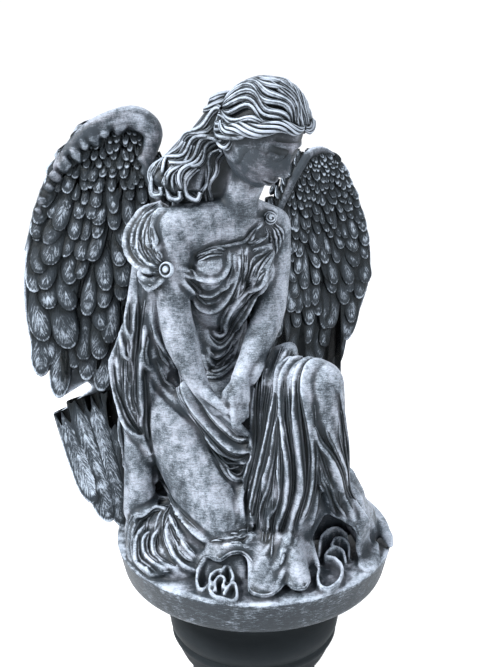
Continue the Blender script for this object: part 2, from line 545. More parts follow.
class Shells:
    """Closed shells gathered as plain arrays, with what the paint needs to know at each corner.

    lines: how far along the run of the fine lines, in metres; line_depth: how deep those are;
    feather: 1 on feathers; edge and centre: how far from a feather's outline and its quill, in metres;
    tone: how much more of the pale paint the shell has, or less.
    """
    marks = {"lines": 0.0, "line_depth": 0.0, "feather": 0.0, "edge": 0.02, "centre": 0.02, "tone": 0.0}

    def __init__(self):
        self.corners = []
        self.faces = []
        self.marked = {name: [] for name in self.marks}
        self.count = 0

    def add(self, corners, faces, **given):
        self.corners.append(corners)
        self.faces += [tuple(k + self.count for k in face) for face in faces]
        for name, plain in self.marks.items():
            values = np.asarray(given.get(name, plain), float)
            self.marked[name].append(np.broadcast_to(values, (len(corners),)))
        self.count += len(corners)

    def add_bar(self, path, radii, sides, depth, tone, **shape):
        corners, faces = bar(path, radii, sides, **shape)
        turns = np.tile(np.arange(sides) / sides, len(corners) // sides)
        around = turns * 2 * math.pi * float(np.mean(radii))
        self.add(corners, faces, lines=around, line_depth=depth, tone=tone)


# The figure

def torso(bm):
    egg(bm, (-0.075, 0.070, 0.185), (0.085, 0.062, 0.070), TORSO_AXES)
    egg(bm, (-0.062, 0.045, 0.300), (0.056, 0.046, 0.085), TORSO_AXES)
    egg(bm, (-0.042, 0.018, 0.390), (0.064, 0.046, 0.085), TORSO_AXES)
    limb(bm, SHOULDER_RIGHT, (-0.060, -0.015, 0.462, 0.026), NECK, (0.000, 0.020, 0.455, 0.026),
         SHOULDER_LEFT)
    limb(bm, NECK, (-0.018, -0.012, 0.490, 0.0235), (0.000, -0.035, 0.535, 0.023))
    egg(bm, (-0.058, -0.024, 0.397), (0.028, 0.029, 0.029))
    egg(bm, (0.000, 0.004, 0.388), (0.027, 0.027, 0.027))
    taut(bm, (-0.058, -0.023, 0.396, 0.026), (-0.052, -0.008, 0.438, 0.022), (-0.020, 0.010, 0.436, 0.020))
    taut(bm, (0.000, 0.003, 0.390, 0.026), (-0.004, 0.012, 0.436, 0.022), (-0.040, -0.002, 0.438, 0.021))
    taut(bm, (-0.050, -0.016, 0.404, 0.022), (-0.006, 0.004, 0.400, 0.022), (-0.036, -0.002, 0.430, 0.021))
    taut(bm, (-0.092, -0.034, 0.448, 0.022), (-0.066, -0.020, 0.428, 0.020), (-0.030, -0.008, 0.448, 0.023),
         (-0.022, 0.000, 0.436, 0.020))


def arms(bm):
    limb(bm, SHOULDER_RIGHT, (-0.105, -0.036, 0.400, 0.0235), (-0.103, -0.040, 0.350, 0.0215), ELBOW_RIGHT,
         (-0.094, -0.047, 0.308, 0.0220), (-0.082, -0.054, 0.275, 0.0165), WRIST_RIGHT)
    limb(bm, SHOULDER_LEFT, (0.026, 0.035, 0.390, 0.0230), (0.022, 0.015, 0.340, 0.0210), ELBOW_LEFT,
         (0.008, -0.016, 0.306, 0.0205), (-0.005, -0.045, 0.284, 0.0160), WRIST_LEFT)


def hand(bm, wrist, first_knuckle, last_knuckle, first_tip, last_tip, bend, thumb):
    """A palm, four fingers that bend away by the given vector, and a thumb."""
    taut(bm, wrist, (*first_knuckle, 0.0072), (*last_knuckle, 0.0066))
    for finger in range(4):
        share = finger / 3
        knuckle = Vector(first_knuckle).lerp(Vector(last_knuckle), share)
        tip = Vector(first_tip).lerp(Vector(last_tip), share)
        middle = (knuckle + tip) / 2 + Vector(bend)
        thickness = 0.0048 - 0.0007 * share
        limb(bm, (*knuckle, thickness * 1.1), (*middle, thickness), (*tip, thickness * 0.75))
    limb(bm, *thumb)


def hands(bm):
    """The right hand lies in the lap, and the left one hangs over it."""
    hand(bm, WRIST_RIGHT, (-0.046, -0.066, 0.222), (-0.052, -0.048, 0.212), (-0.009, -0.062, 0.186),
         (-0.022, -0.044, 0.179), (0.001, -0.003, 0.002),
         ((-0.064, -0.068, 0.246, 0.0080), (-0.048, -0.078, 0.236, 0.0068), (-0.037, -0.081, 0.226, 0.0052)))
    hand(bm, WRIST_LEFT, (-0.028, -0.078, 0.240), (-0.012, -0.072, 0.238), (-0.026, -0.081, 0.204),
         (-0.010, -0.070, 0.214), (0.000, -0.004, 0.001),
         ((-0.026, -0.070, 0.256, 0.0075), (-0.036, -0.074, 0.246, 0.0064), (-0.039, -0.077, 0.235, 0.0050)))


def legs(bm):
    taut(bm, HIP_RIGHT, KNEE_RIGHT)
    limb(bm, KNEE_RIGHT, (-0.120, 0.100, 0.043, 0.040), ANKLE_RIGHT)
    taut(bm, HIP_LEFT, KNEE_LEFT)
    limb(bm, KNEE_LEFT, (0.094, -0.078, 0.150, 0.027), (0.102, -0.060, 0.105, 0.022))


def cloth(bm):
    """The big shapes of the dress; the folds are carved into them afterwards."""
    # the curtain from the raised thigh, and the wall behind the arch of the hem
    taut(bm, KNEE_LEFT, (0.100, -0.032, 0.108, 0.020), (0.050, -0.076, 0.048, 0.016),
         (0.016, -0.068, 0.046, 0.014), (0.058, -0.064, 0.032, 0.016), (-0.010, -0.020, 0.025, 0.020),
         HIP_LEFT)
    taut(bm, (0.055, -0.020, 0.020, 0.016), (0.130, -0.004, 0.020, 0.014), (0.118, -0.020, 0.105, 0.018),
         (0.050, 0.010, 0.100, 0.020))
    taut(bm, (0.014, -0.018, 0.276, 0.010), (0.007, -0.047, 0.255, 0.010), (0.004, -0.050, 0.222, 0.010),
         (0.010, -0.040, 0.182, 0.011), (0.006, -0.038, 0.140, 0.010), (0.046, -0.004, 0.282, 0.012),
         (0.044, -0.058, 0.252, 0.018), (0.040, -0.060, 0.150, 0.016))
    # beside the shin, down to the edge of the base
    taut(bm, (0.136, -0.050, 0.082, 0.012), (0.148, -0.036, 0.046, 0.009), (0.149, -0.030, 0.010, 0.008),
         (0.116, -0.034, 0.105, 0.018), (0.134, -0.010, 0.040, 0.012), (0.160, -0.012, 0.046, 0.010),
         (0.168, -0.010, 0.010, 0.010))
    limb(bm, (0.166, -0.002, 0.026, 0.011), (0.180, -0.010, 0.019, 0.010), (0.187, -0.023, 0.014, 0.008),
         (0.190, -0.032, 0.006, 0.005))
    # the tongue of the hem
    taut(bm, (0.151, -0.026, 0.004, 0.005), (0.170, -0.028, 0.004, 0.005), (0.145, -0.058, 0.001, 0.005),
         (0.167, -0.060, 0.001, 0.005), (0.143, -0.082, 0.000, 0.005), (0.149, -0.089, 0.000, 0.005),
         (0.157, -0.087, 0.000, 0.005))
    # round the kneeling leg
    taut(bm, HIP_RIGHT, HIP_LEFT, (-0.045, 0.000, 0.060, 0.050), (-0.150, 0.140, 0.034, 0.030),
         (0.020, 0.120, 0.034, 0.030))
    taut(bm, HIP_LEFT, (0.020, 0.000, 0.050, 0.040), KNEE_RIGHT)
    taut(bm, (-0.085, 0.000, 0.215, 0.020), (-0.050, -0.015, 0.165, 0.020), (-0.014, -0.030, 0.148, 0.016),
         (0.000, -0.026, 0.205, 0.016), (-0.030, 0.020, 0.240, 0.020))
    taut(bm, (-0.158, -0.020, 0.025, 0.024), (-0.156, -0.058, 0.010, 0.019), (-0.136, -0.090, 0.004, 0.014),
         (-0.108, -0.100, 0.002, 0.013), (-0.085, -0.098, 0.004, 0.012), (-0.150, 0.080, 0.040, 0.035),
         (-0.070, -0.030, 0.040, 0.035))
    taut(bm, (-0.036, -0.076, 0.008, 0.012), (0.040, -0.090, 0.012, 0.010), (0.058, -0.064, 0.032, 0.016),
         (-0.030, -0.030, 0.030, 0.020))
    # the fall behind the right arm
    taut(bm, (-0.125, 0.010, 0.420, 0.020), (-0.150, 0.020, 0.300, 0.020), (-0.160, 0.030, 0.160, 0.030),
         (-0.160, 0.050, 0.060, 0.030), (-0.100, 0.060, 0.300, 0.030))
    limb(bm, (-0.150, 0.012, 0.400, 0.011), (-0.158, 0.014, 0.350, 0.012), (-0.160, 0.014, 0.318, 0.013),
         (-0.175, 0.014, 0.288, 0.013), (-0.180, 0.014, 0.260, 0.013), (-0.174, 0.014, 0.206, 0.015),
         (-0.164, 0.012, 0.160, 0.018), (-0.160, 0.000, 0.100, 0.022), (-0.160, -0.010, 0.050, 0.024))
    for sheet in HEM_SHEETS:
        drawn_sheet(bm, sheet, 0.0036)


def drawn_sheet(bm, sheet, radius):
    """Cloth drawn from a free edge to the dress: bars laid side by side, which the fusing joins."""
    steps = 4 * len(sheet.edge)
    for path in between(sheet.edge, sheet.back, sheet.count, steps):
        rope(bm, path / 1000, np.full(steps, radius), 8)


def arm_drape(bm):
    """Loose loops of cloth that hang outside the right shoulder and gather at the brooch."""
    outer = ((-118, -2, 482), (-142, -8, 466), (-157, -18, 440), (-153, -32, 418), (-134, -54, 404),
             (-108, -64, 404))
    inner = ((-112, -30, 477), (-125, -34, 456), (-128, -42, 436), (-122, -51, 422), (-107, -60, 411))
    swells = (0.0046, 0.0034, 0.0040, 0.0030, 0.0036)
    steps = 26
    along = np.linspace(0, 1, steps)
    for path, swell in zip(between(outer, inner, len(swells), steps), swells):
        rope(bm, path / 1000, np.interp(along, (0, 0.3, 0.75, 1), (0.6, 1.0, 1.0, 0.55)) * swell)
    steps = 18
    along = np.linspace(0, 1, steps)
    for low, radii in ((((-108, -64, 401), (-122, -56, 389), (-136, -42, 386), (-147, -18, 396)),
                        (0.003, 0.0044, 0.004)),
                       (((-106, -62, 398), (-118, -54, 378), (-132, -34, 374), (-143, -12, 384)),
                        (0.0025, 0.0036, 0.004))):
        rope(bm, spline(low, steps) / 1000, np.interp(along, (0, 0.4, 1), radii))
    limb(bm, (-0.122, 0.004, 0.462, 0.017), (-0.134, -0.006, 0.430, 0.018), (-0.134, -0.006, 0.385, 0.015))
    egg(bm, SHOULDER_KNOT, (0.009, 0.009, 0.010))


def brooch(shells):
    """A round brooch with a raised ring and a button."""
    size = BROOCH_RADIUS
    profile = [(0.0, -0.5 * size)] + [(size * out, size * rise) for out, rise in (
        (1.00, -0.40), (1.04, 0.02), (0.94, 0.24), (0.80, 0.24), (0.70, 0.04), (0.54, 0.02), (0.48, 0.20),
        (0.34, 0.36))] + [(0.0, 0.42 * size)]
    corners, faces = lathe(profile, 22)
    turned = np.array(Vector((-0.45, -0.86, 0.22)).to_track_quat("Z", "Y").to_matrix())
    shells.add(corners @ turned.T + np.array(BROOCH), faces, tone=0.25)


def hem(bm):
    """The crisp edges of the hem, and the ribbons of it that stand on the base."""
    for sheet in HEM_SHEETS:
        steps = 5 * len(sheet.edge)
        rope(bm, spline(sheet.edge, steps) / 1000 + (0, 0, 0.0008), np.full(steps, 0.0025), 10)
    swell = np.interp(np.linspace(0, 1, 14), (0, 0.4, 1), (0.0030, 0.0042, 0.0030))
    for fold in PETAL_FOLDS:
        rope(bm, spline(fold, len(swell)) / 1000, swell, 8)
    taut(bm, (-0.060, -0.100, 0.002, 0.010), (-0.018, -0.104, 0.002, 0.010), (-0.056, -0.088, 0.020, 0.010),
         (-0.018, -0.092, 0.022, 0.010))
    for ribbon in HEM_RIBBONS:
        steps = 4 * len(ribbon)
        top = spline(ribbon, steps) / 1000
        for near, far in zip(top, top[1:]):
            taut(bm, *((*place[:2], height, radius) for place in (near, far)
                       for height, radius in ((place[2] - 0.002, 0.0021), (0.0, 0.0026))), detail=1)


def hem_edges(shells):
    """The free edges of the hem, rolled thin."""
    for sheet in HEM_SHEETS:
        steps = 4 * len(sheet.edge)
        path = spline(sheet.edge, steps) / 1000 + (0, -0.0012, 0.0022)
        shells.add_bar(path, np.full(steps, 0.0016), 5, 0.0, -0.10)


def lathe(profile, sides):
    """Corners and faces of a closed shape turned about the upright axis.

    The profile starts and ends on the axis.
    """
    turn = np.linspace(0, 2 * math.pi, sides, endpoint=False)
    radius, height = np.array(profile[1:-1]).T
    rings = np.stack(np.broadcast_arrays(radius[:, None] * np.cos(turn), radius[:, None] * np.sin(turn),
                                         height[:, None]), -1)
    count = len(radius)
    faces = ring_faces(count, sides)
    first, last = count * sides, count * sides + 1
    faces += [(first, (j + 1) % sides, j) for j in range(sides)]
    faces += [(last, (count - 1) * sides + j, (count - 1) * sides + (j + 1) % sides) for j in range(sides)]
    ends = [(0, 0, profile[0][1]), (0, 0, profile[-1][1])]
    return np.vstack([rings.reshape(-1, 3), ends]), faces


def base(bm):
    """The round base: a crisp upper edge, and a side drawn in to a rounded lower rim."""
    profile = ((0.0, -BASE_THICKNESS), (0.176, -BASE_THICKNESS), (0.183, -0.0508), (0.1875, -0.0470),
               (0.1900, -0.0405), (0.1945, -0.0200), (0.1976, -0.0070), (BASE_RADIUS, -0.0030),
               (0.1984, -0.0010), (0.1970, 0.0), (0.0, 0.0))
    corners, faces = lathe(profile, 160)
    corners[:, 1] += BASE_BEHIND
    mesh = bpy.data.meshes.new("base")
    mesh.from_pydata(corners.tolist(), [], faces)
    add_mesh(bm, mesh)


# Head and hair

KNOT = in_head(-0.006, -0.058, -0.004)
HEAD_TONE = -0.36            # the bowed head takes less of the pale paint
HAIR_LINES = 0.5             # how deep the fine lines of a strand are, as a share of a feather's
HAIR_TONE = 0.32             # and how much more pale paint the hair takes
CURL_TONE = 0.02


def hair_mass(bm):
    """What lies under the locks: a cap on the skull, the knot, and the bundle that falls to the shoulder."""
    egg(bm, in_head(0, -0.006, 0.004), (0.044, 0.054, 0.060), HEAD_AXES)
    egg(bm, KNOT, (0.019, 0.017, 0.018))
    taut(bm, (*KNOT, 0.017), (-0.064, -0.008, 0.545, 0.020), (-0.094, -0.006, 0.526, 0.017),
         (-0.090, -0.012, 0.494, 0.014), (-0.062, -0.004, 0.494, 0.016), (-0.035, -0.006, 0.500, 0.016))
    taut(bm, (-0.094, -0.008, 0.530, 0.016), (-0.118, -0.012, 0.518, 0.014), (-0.106, -0.024, 0.502, 0.012),
         (-0.084, -0.024, 0.500, 0.013))
    taut(bm, (-0.070, -0.020, 0.530, 0.015), (-0.076, -0.026, 0.506, 0.013), (-0.098, -0.028, 0.504, 0.013),
         (-0.116, -0.022, 0.512, 0.011), (-0.096, -0.018, 0.532, 0.014))


def head_grid(rings=64, sides=96):
    """The head as a net round its forward axis, finest at the face, which is carved in relief.

    The face is plain: eyes half way down the head, nose and mouth in even thirds below, lids closed.
    """
    share = np.linspace(0, 1, rings + 1)
    tilt = np.interp(share, (0, 0.05, 0.72, 1), (0, 0.10, 1.35, math.pi))
    turn = np.linspace(0, 2 * math.pi, sides, endpoint=False)
    tilt, turn = np.meshgrid(tilt, turn, indexing="ij")
    side = np.sin(tilt) * np.cos(turn)
    up = np.sin(tilt) * np.sin(turn)
    ahead = np.cos(tilt)
    s = side * 0.0415
    u = np.where(up > 0, up * 0.0600, up * 0.0660)
    f = np.where(ahead > 0, ahead * 0.0475, ahead * 0.0520)
    below = np.clip(-u / 0.066, 0, 1)
    s = s * (1 - 0.34 * below**1.8)
    f = f + 0.010 * below**1.5 * (ahead > -0.2) * ease(ahead, -0.2, 0.5)
    facing = ease(ahead, 0.15, 0.55)

    def bump(side_at, up_at, wide, tall):
        return np.exp(-((s - side_at) / wide) ** 2 - ((u - up_at) / tall) ** 2)

    relief = np.zeros_like(s)
    bridge = np.interp(u, (-0.030, -0.0275, -0.024, -0.010, 0.004, 0.012),
                       (0.0, 0.0085, 0.0125, 0.0075, 0.0030, 0.0))
    width = np.interp(u, (-0.030, -0.022, -0.008, 0.006), (0.0085, 0.0062, 0.0046, 0.0060))
    relief += bridge * np.exp(-((s / width) ** 2))
    relief += 0.0020 * bump(0, 0.011, 0.022, 0.006)
    relief += 0.0020 * bump(0, -0.060, 0.011, 0.008)
    relief -= 0.0012 * bump(0, -0.052, 0.012, 0.0035)
    mouth_curve = -0.0425 - 0.0008 * np.cos(np.clip(s / 0.012, -1, 1) * math.pi)
    lip = np.sqrt(np.clip(1 - (s / 0.0135) ** 2, 0, 1))
    relief += 0.0044 * lip * np.exp(-(((u - mouth_curve - 0.0030) / 0.0026) ** 2))
    relief += 0.0048 * lip * np.exp(-(((u - mouth_curve + 0.0034) / 0.0030) ** 2))
    relief -= 0.0030 * lip * np.exp(-(((u - mouth_curve) / 0.0011) ** 2))
    relief -= 0.0014 * bump(0, -0.034, 0.0022, 0.0035)
    relief -= 0.0018 * bump(0, -0.0505, 0.0110, 0.0030)
    for half in (-1, 1):
        relief += 0.0036 * bump(half * 0.0072, -0.0262, 0.0032, 0.0032)
        relief -= 0.0068 * bump(half * 0.0165, 0.0015, 0.0110, 0.0070)
        ball_wide = (s - half * 0.0172) / 0.0108
        ball_high = (u + 0.0012) / 0.0068
        relief += 0.0060 * np.sqrt(np.clip(1 - ball_wide**2 - ball_high**2, 0, 1))
        lash = -0.0052 + 0.0030 * ball_wide**2
        near = np.clip(1 - ball_wide**2, 0, 1)
        relief -= 0.0024 * near * np.exp(-(((u - lash) / 0.0011) ** 2))
        relief += 0.0010 * near * np.exp(-(((u - lash - 0.0020) / 0.0010) ** 2))
        crease = 0.0040 - 0.0022 * ball_wide**2
        relief -= 0.0017 * near * np.exp(-(((u - crease) / 0.0011) ** 2))
        relief += 0.0032 * bump(half * 0.0180, 0.0105, 0.0120, 0.0032)
        relief += 0.0026 * bump(half * 0.0250, -0.0160, 0.0120, 0.0110)
        relief -= 0.0010 * bump(half * 0.0150, -0.0330, 0.0050, 0.0090)
    f = f + relief * facing
    corners = heads_places(np.stack([s, f, u], -1).reshape(-1, 3))
    faces = []
    for i in range(1, rings - 1):
        for j in range(sides):
            k = (j + 1) % sides
            faces.append((i * sides + j, (i + 1) * sides + j, (i + 1) * sides + k, i * sides + k))
    faces.append(tuple(sides + j for j in range(sides)))
    faces.append(tuple((rings - 1) * sides + j for j in range(sides - 1, -1, -1)))
    return corners, faces


def on_cap(local, lift):
    """Places in the head's axes brought onto the hair's cap, and raised over it."""
    local = np.asarray(local, float)
    half = np.array(HAIR_CAP)
    size = np.linalg.norm(local / half, axis=-1, keepdims=True)
    skin = local / size
    return skin + unit(skin / half**2) * np.asarray(lift, float)[..., None]


# Locks on the head, for its right side and mirrored for its left. Their points are side, forward and up
# from the head's centre, in millimetres.
Locks = namedtuple("Locks", "count radius lift waves sway first last")
HEAD_LOCKS = (
    # drawn over the crown from the parting to the knot
    Locks(7, 0.0022, 0.0016, 1.7, 0.0058,
          ((-1, 44, 43), (-3, 18, 62), (-4, -22, 60), (-5, -52, 22)),
          ((-28, 39, 34), (-41, 12, 32), (-45, -14, 20), (-34, -46, 0))),
    # straight back beside the parting
    Locks(2, 0.0026, 0.0014, 1.3, 0.0028,
          ((0.5, 51, 41), (0.5, 34, 56), (0, 10, 64), (-2, -24, 60)),
          ((-11, 50, 40), (-13, 34, 53), (-15, 12, 61), (-16, -22, 58))),
    # from the forehead back over the temple
    Locks(3, 0.0023, 0.0024, 1.4, 0.0044,
          ((-22, 41, 37), (-41, 18, 30), (-47, -6, 18), (-36, -44, 4)),
          ((-36, 30, 28), (-46, 8, 12), (-46, -14, 4), (-34, -46, -8))),
    # over the ear and round to the nape
    Locks(3, 0.0024, 0.0026, 1.1, 0.0034,
          ((-43, 18, 20), (-48, -2, 4), (-44, -24, -4), (-30, -48, -12)),
          ((-45, 8, 0), (-46, -8, -16), (-42, -28, -22), (-30, -46, -30))),
    # the back of the head below the knot
    Locks(4, 0.0026, 0.0010, 1.0, 0.0024,
          ((-6, -54, 10), (-8, -53, -18), (-8, -46, -40)),
          ((-34, -40, 4), (-38, -34, -18), (-30, -34, -42))),
)
HAIRLINE = ((-2, 50, 40), (-17, 45, 37), (-31, 36, 32), (-43, 20, 21),
            (-48, 4, 8), (-47, -12, -2), (-42, -30, -6))
STRANDS = ((-0.32, 0.80, -0.0006), (0.0, 1.0, 0.0006), (0.30, 0.85, -0.0003))  # of a lock: place, size, lift


def blend(first, last, share, steps):
    """The path a share of the way from one guide to the other."""
    return spline(first, steps) * (1 - share) + spline(last, steps) * share


def head_locks(shells):
    """Waved locks of three strands each, with narrow gaps between the locks."""
    for mirrored in (1, -1):
        steps = 20 if mirrored == 1 else 14
        along = np.linspace(0, 1, steps)
        fade = np.sin(np.pi * np.clip(along, 0.02, 0.98)) ** 0.5
        taper = np.interp(along, (0, 0.10, 0.85, 1), (0.55, 1.0, 0.95, 0.6))
        for family in HEAD_LOCKS:
            for number in range(family.count):
                turn = 2 * math.pi * family.waves * along + 0.75 * number + 0.8
                turn = turn + 0.25 * math.sin(3.7 * number)
                for place, size, lift in STRANDS:
                    share = (number + 0.5 + place) / family.count
                    path = blend(metres(family.first), metres(family.last), share, steps)
                    outward = unit(path / np.array(HAIR_CAP) ** 2)
                    sideways = np.cross(unit(np.gradient(path, axis=0)), outward)
                    wave = np.sin(turn + 0.25 * place) * family.sway
                    wave = wave * (1.05 + 0.15 * math.sin(2.3 * number)) * fade
                    path = on_cap(path + sideways * wave[:, None], family.lift + lift + 0.0010 * np.cos(turn))
                    radii = family.radius * size * taper
                    shells.add_bar(heads_places(path * (mirrored, 1, 1)), radii, 5, HAIR_LINES, HAIR_TONE)


def hairline_roll(shells):
    """The roll of hair round the face: waved strands that turn slowly round one another."""
    steps = 36
    along = np.linspace(0, 1, steps)
    strands = 7
    for mirrored in (1, -1):
        middle = on_cap(spline(metres(HAIRLINE), steps), np.full(steps, 0.0022))
        outward = unit(middle / np.array(HAIR_CAP) ** 2)
        sideways = np.cross(unit(np.gradient(middle, axis=0)), outward)
        size = 0.0058 * np.interp(along, (0, 0.15, 0.6, 1), (0.40, 0.85, 1.15, 0.7))
        wave = 0.0024 * np.sin(along * 5.0 * math.pi)
        for strand in range(strands):
            turn = along * 2.2 * math.pi + strand * 2 * math.pi / strands
            offset = (size * np.cos(turn) + wave)[:, None] * sideways
            offset = offset + (0.75 * size * np.sin(turn))[:, None] * outward
            places = heads_places((middle + offset) * (mirrored, 1, 1))
            shells.add_bar(places, size * 0.40, 5, HAIR_LINES, HAIR_TONE)


# Loose hair, in the statue's own places, in millimetres
LOOSE_LOCKS = (
    # locks that wrap the bundle from the knot to the shoulder
    Locks(5, 0.0027, 0.0012, 1.7, 0.0072,
          ((-36, -56, 600), (-62, -36, 590), (-90, -20, 566), (-114, -8, 540)),
          ((-30, -88, 560), (-46, -66, 552), (-64, -42, 538), (-92, -24, 518))),
    Locks(5, 0.0026, 0.0014, 1.3, 0.0060,
          ((-104, -6, 558), (-126, -4, 534), (-130, -10, 508), (-118, -22, 492)),
          ((-58, -38, 548), (-78, -32, 528), (-84, -30, 506), (-76, -32, 488))),
    # round the knot
    Locks(2, 0.0028, 0.0008, 0.6, 0.0020,
          ((-60, -12, 612), (-52, -30, 622), (-30, -30, 622), (-24, -10, 610)),
          ((-66, -20, 596), (-58, -52, 600), (-36, -56, 606), (-20, -30, 606))),
    # thin strands down the side of the neck
    Locks(2, 0.0020, 0.0008, 1.4, 0.0036,
          ((-52, -44, 548), (-60, -36, 528), (-66, -30, 508), (-62, -32, 492)),
          ((-36, -56, 548), (-44, -40, 528), (-50, -30, 510), (-52, -28, 490))),
    # over the back of the bundle
    Locks(5, 0.0032, 0.0010, 1.5, 0.0036,
          ((-52, -20, 604), (-74, 0, 576), (-100, 8, 548), (-122, 4, 520)),
          ((-36, -8, 582), (-54, 12, 552), (-70, 16, 526), (-90, 10, 498))),
    # down the back between the wings
    Locks(4, 0.0036, 0.0010, 1.6, 0.0040,
          ((-36, -22, 580), (-60, 8, 545), (-84, 18, 510), (-96, 20, 480)),
          ((-12, -18, 566), (-18, 14, 530), (-20, 30, 495), (-24, 36, 468))),
)


def settled(path, skin, lift):
    """A path moved onto the skin and raised by lift, with the skin's direction at each of its points."""
    found = [skin.find_nearest(Vector(p)) for p in path]
    facing = np.array([hit[1] for hit in found])
    facing[1:-1] = facing[:-2] + facing[1:-1] + facing[2:]
    facing = unit(facing)
    places = np.array([hit[0] for hit in found]) + facing * np.asarray(lift, float).reshape(-1, 1)
    places[1:-1] = (places[:-2] + 2 * places[1:-1] + places[2:]) / 4
    return places, facing


def loose_locks(shells, skin):
    """Waved locks that lie on the knot, the bundle and the back."""
    steps = 20
    along = np.linspace(0, 1, steps)
    taper = np.interp(along, (0, 0.15, 0.85, 1), (0.6, 1.0, 1.0, 0.6))
    for family in LOOSE_LOCKS:
        for number in range(family.count):
            turn = 2 * math.pi * family.waves * along + 0.8 * number
            for place, size, lift in STRANDS:
                share = (number + 0.5 + place) / family.count
                path = blend(metres(family.first), metres(family.last), share, steps)
                path, facing = settled(path, skin, family.lift + lift)
                sideways = unit(np.cross(unit(np.gradient(path, axis=0)), facing))
                path = path + sideways * (family.sway * np.sin(turn + 0.25 * place))[:, None]
                path = settled(path, skin, family.lift + lift + 0.0020 * np.cos(turn))[0]
                shells.add_bar(path, family.radius * size * taper, 5, HAIR_LINES, HAIR_TONE)


# Curls on the right shoulder: their paths in millimetres, each with the radius of its strands
CURLS = (
    (((-120, -22, 524), (-132, -30, 509), (-127, -39, 495), (-116, -43, 495), (-116, -43, 504)), 0.0024),
    (((-98, -30, 520), (-110, -37, 507), (-105, -44, 491), (-93, -46, 490), (-92, -45, 499)), 0.0024),
    (((-72, -32, 526), (-85, -38, 512), (-84, -43, 495), (-72, -44, 488), (-67, -42, 497)), 0.0024),
)


def shoulder_curls(shells, skin):
    """Locks that end in loose hooks on the right shoulder."""
    steps = 26
    along = np.linspace(0, 1, steps)
    for points, radius in CURLS:
        middle = spline(metres(points), steps) + (0.0, 0.0035, 0.0)
        sideways = unit(np.cross(np.gradient(middle, axis=0), (0.0, -1.0, 0.25)))
        for place, size, lift in STRANDS:
            apart = 3.0 * radius * place * (1 - 0.35 * along)
            path = middle + sideways * apart[:, None] + (0, -1.6 * lift, 0)
            on_skin = settled(path, skin, 0.5 * radius)[0]
            path = on_skin + (path - on_skin) * ease(along, 0.15, 0.55)[:, None]
            radii = 1.20 * radius * size * np.interp(along, (0, 0.2, 0.8, 1), (0.6, 1.0, 0.85, 0.5))
            shells.add_bar(path, radii, 6, HAIR_LINES, CURL_TONE)


def longest_run(path, drawn):
    """The part of a settled path that stays near the drawn one and never leaps to another surface."""
    step = np.linalg.norm(np.diff(path, axis=0), axis=1)
    usual = np.linalg.norm(np.diff(drawn, axis=0), axis=1)
    broken = (step > 1.9 * usual + 0.0005) | (np.linalg.norm(path - drawn, axis=1)[1:] > 0.012)
    cuts = [-1, *broken.nonzero()[0].tolist(), len(step)]
    start, end = max(zip(cuts, cuts[1:]), key=lambda pair: pair[1] - pair[0])
    return slice(start + 1, end + 1)


def fold_edges(shells, skin, ridges):
    """A slender ridge along the pinched crest of each fold in front, and the fine folds."""
    steps = 20
    along = np.linspace(0, 1, steps)
    chance = random.Random(3)
    drawn = [(path, radii, 0.05 * radii, 0.9) for path, radii in ridges]
    for family in FINE_FOLDS:
        for number in range(family.count):
            share = (number + chance.uniform(0.3, 0.7)) / family.count
            path = blend(family.first, family.last, share, steps) / 1000
            wander = 0.0010 * np.sin(along * chance.uniform(6, 12) + chance.uniform(0, 6))
            path = path + unit(np.cross(np.gradient(path, axis=0), (0.3, -0.9, 0.2))) * wander[:, None]
            radii = family.radius * chance.uniform(1.0, 1.6) * np.ones(steps)
            drawn.append((path, radii, 0.3 * radii, 1.0))
    for path, radii, rise, flat in drawn:
        placed, facing = settled(path, skin, rise)
        run = longest_run(placed, path)
        count = run.stop - run.start
        if count > 5:
            taper = np.sin(np.linspace(0.06, math.pi - 0.06, count)) ** 0.5
            shells.add_bar(placed[run], radii[run] * taper, 5, 0.0, 0.06, flat=flat, normal=facing[run])


def shoulder_knot(shells):
    """The small rosette of cloth on the left shoulder that gathers the dress."""
    centre = np.array((0.019, 0.000, 0.459))
    forward = unit(np.array((0.30, -0.90, 0.35)))
    across = unit(np.cross(forward, (0, 0, 1.0)))
    over = np.cross(across, forward)
    angle = np.linspace(0, 2 * math.pi * 0.86, 12)
    for size, radius, start, lift in ((0.0075, 0.0024, 0.4, 0.0020), (0.0048, 0.0021, 2.6, 0.0050),
                                      (0.0020, 0.0020, 4.4, 0.0075)):
        turn = angle + start
        ring = np.cos(turn)[:, None] * across + 0.85 * np.sin(turn)[:, None] * over
        path = centre + forward * lift + size * ring
        shells.add_bar(path, radius * np.interp(angle, (0, 1, 4.5, 5.4), (0.6, 1, 1, 0.5)), 6, 0.0, 0.25)


# The wings

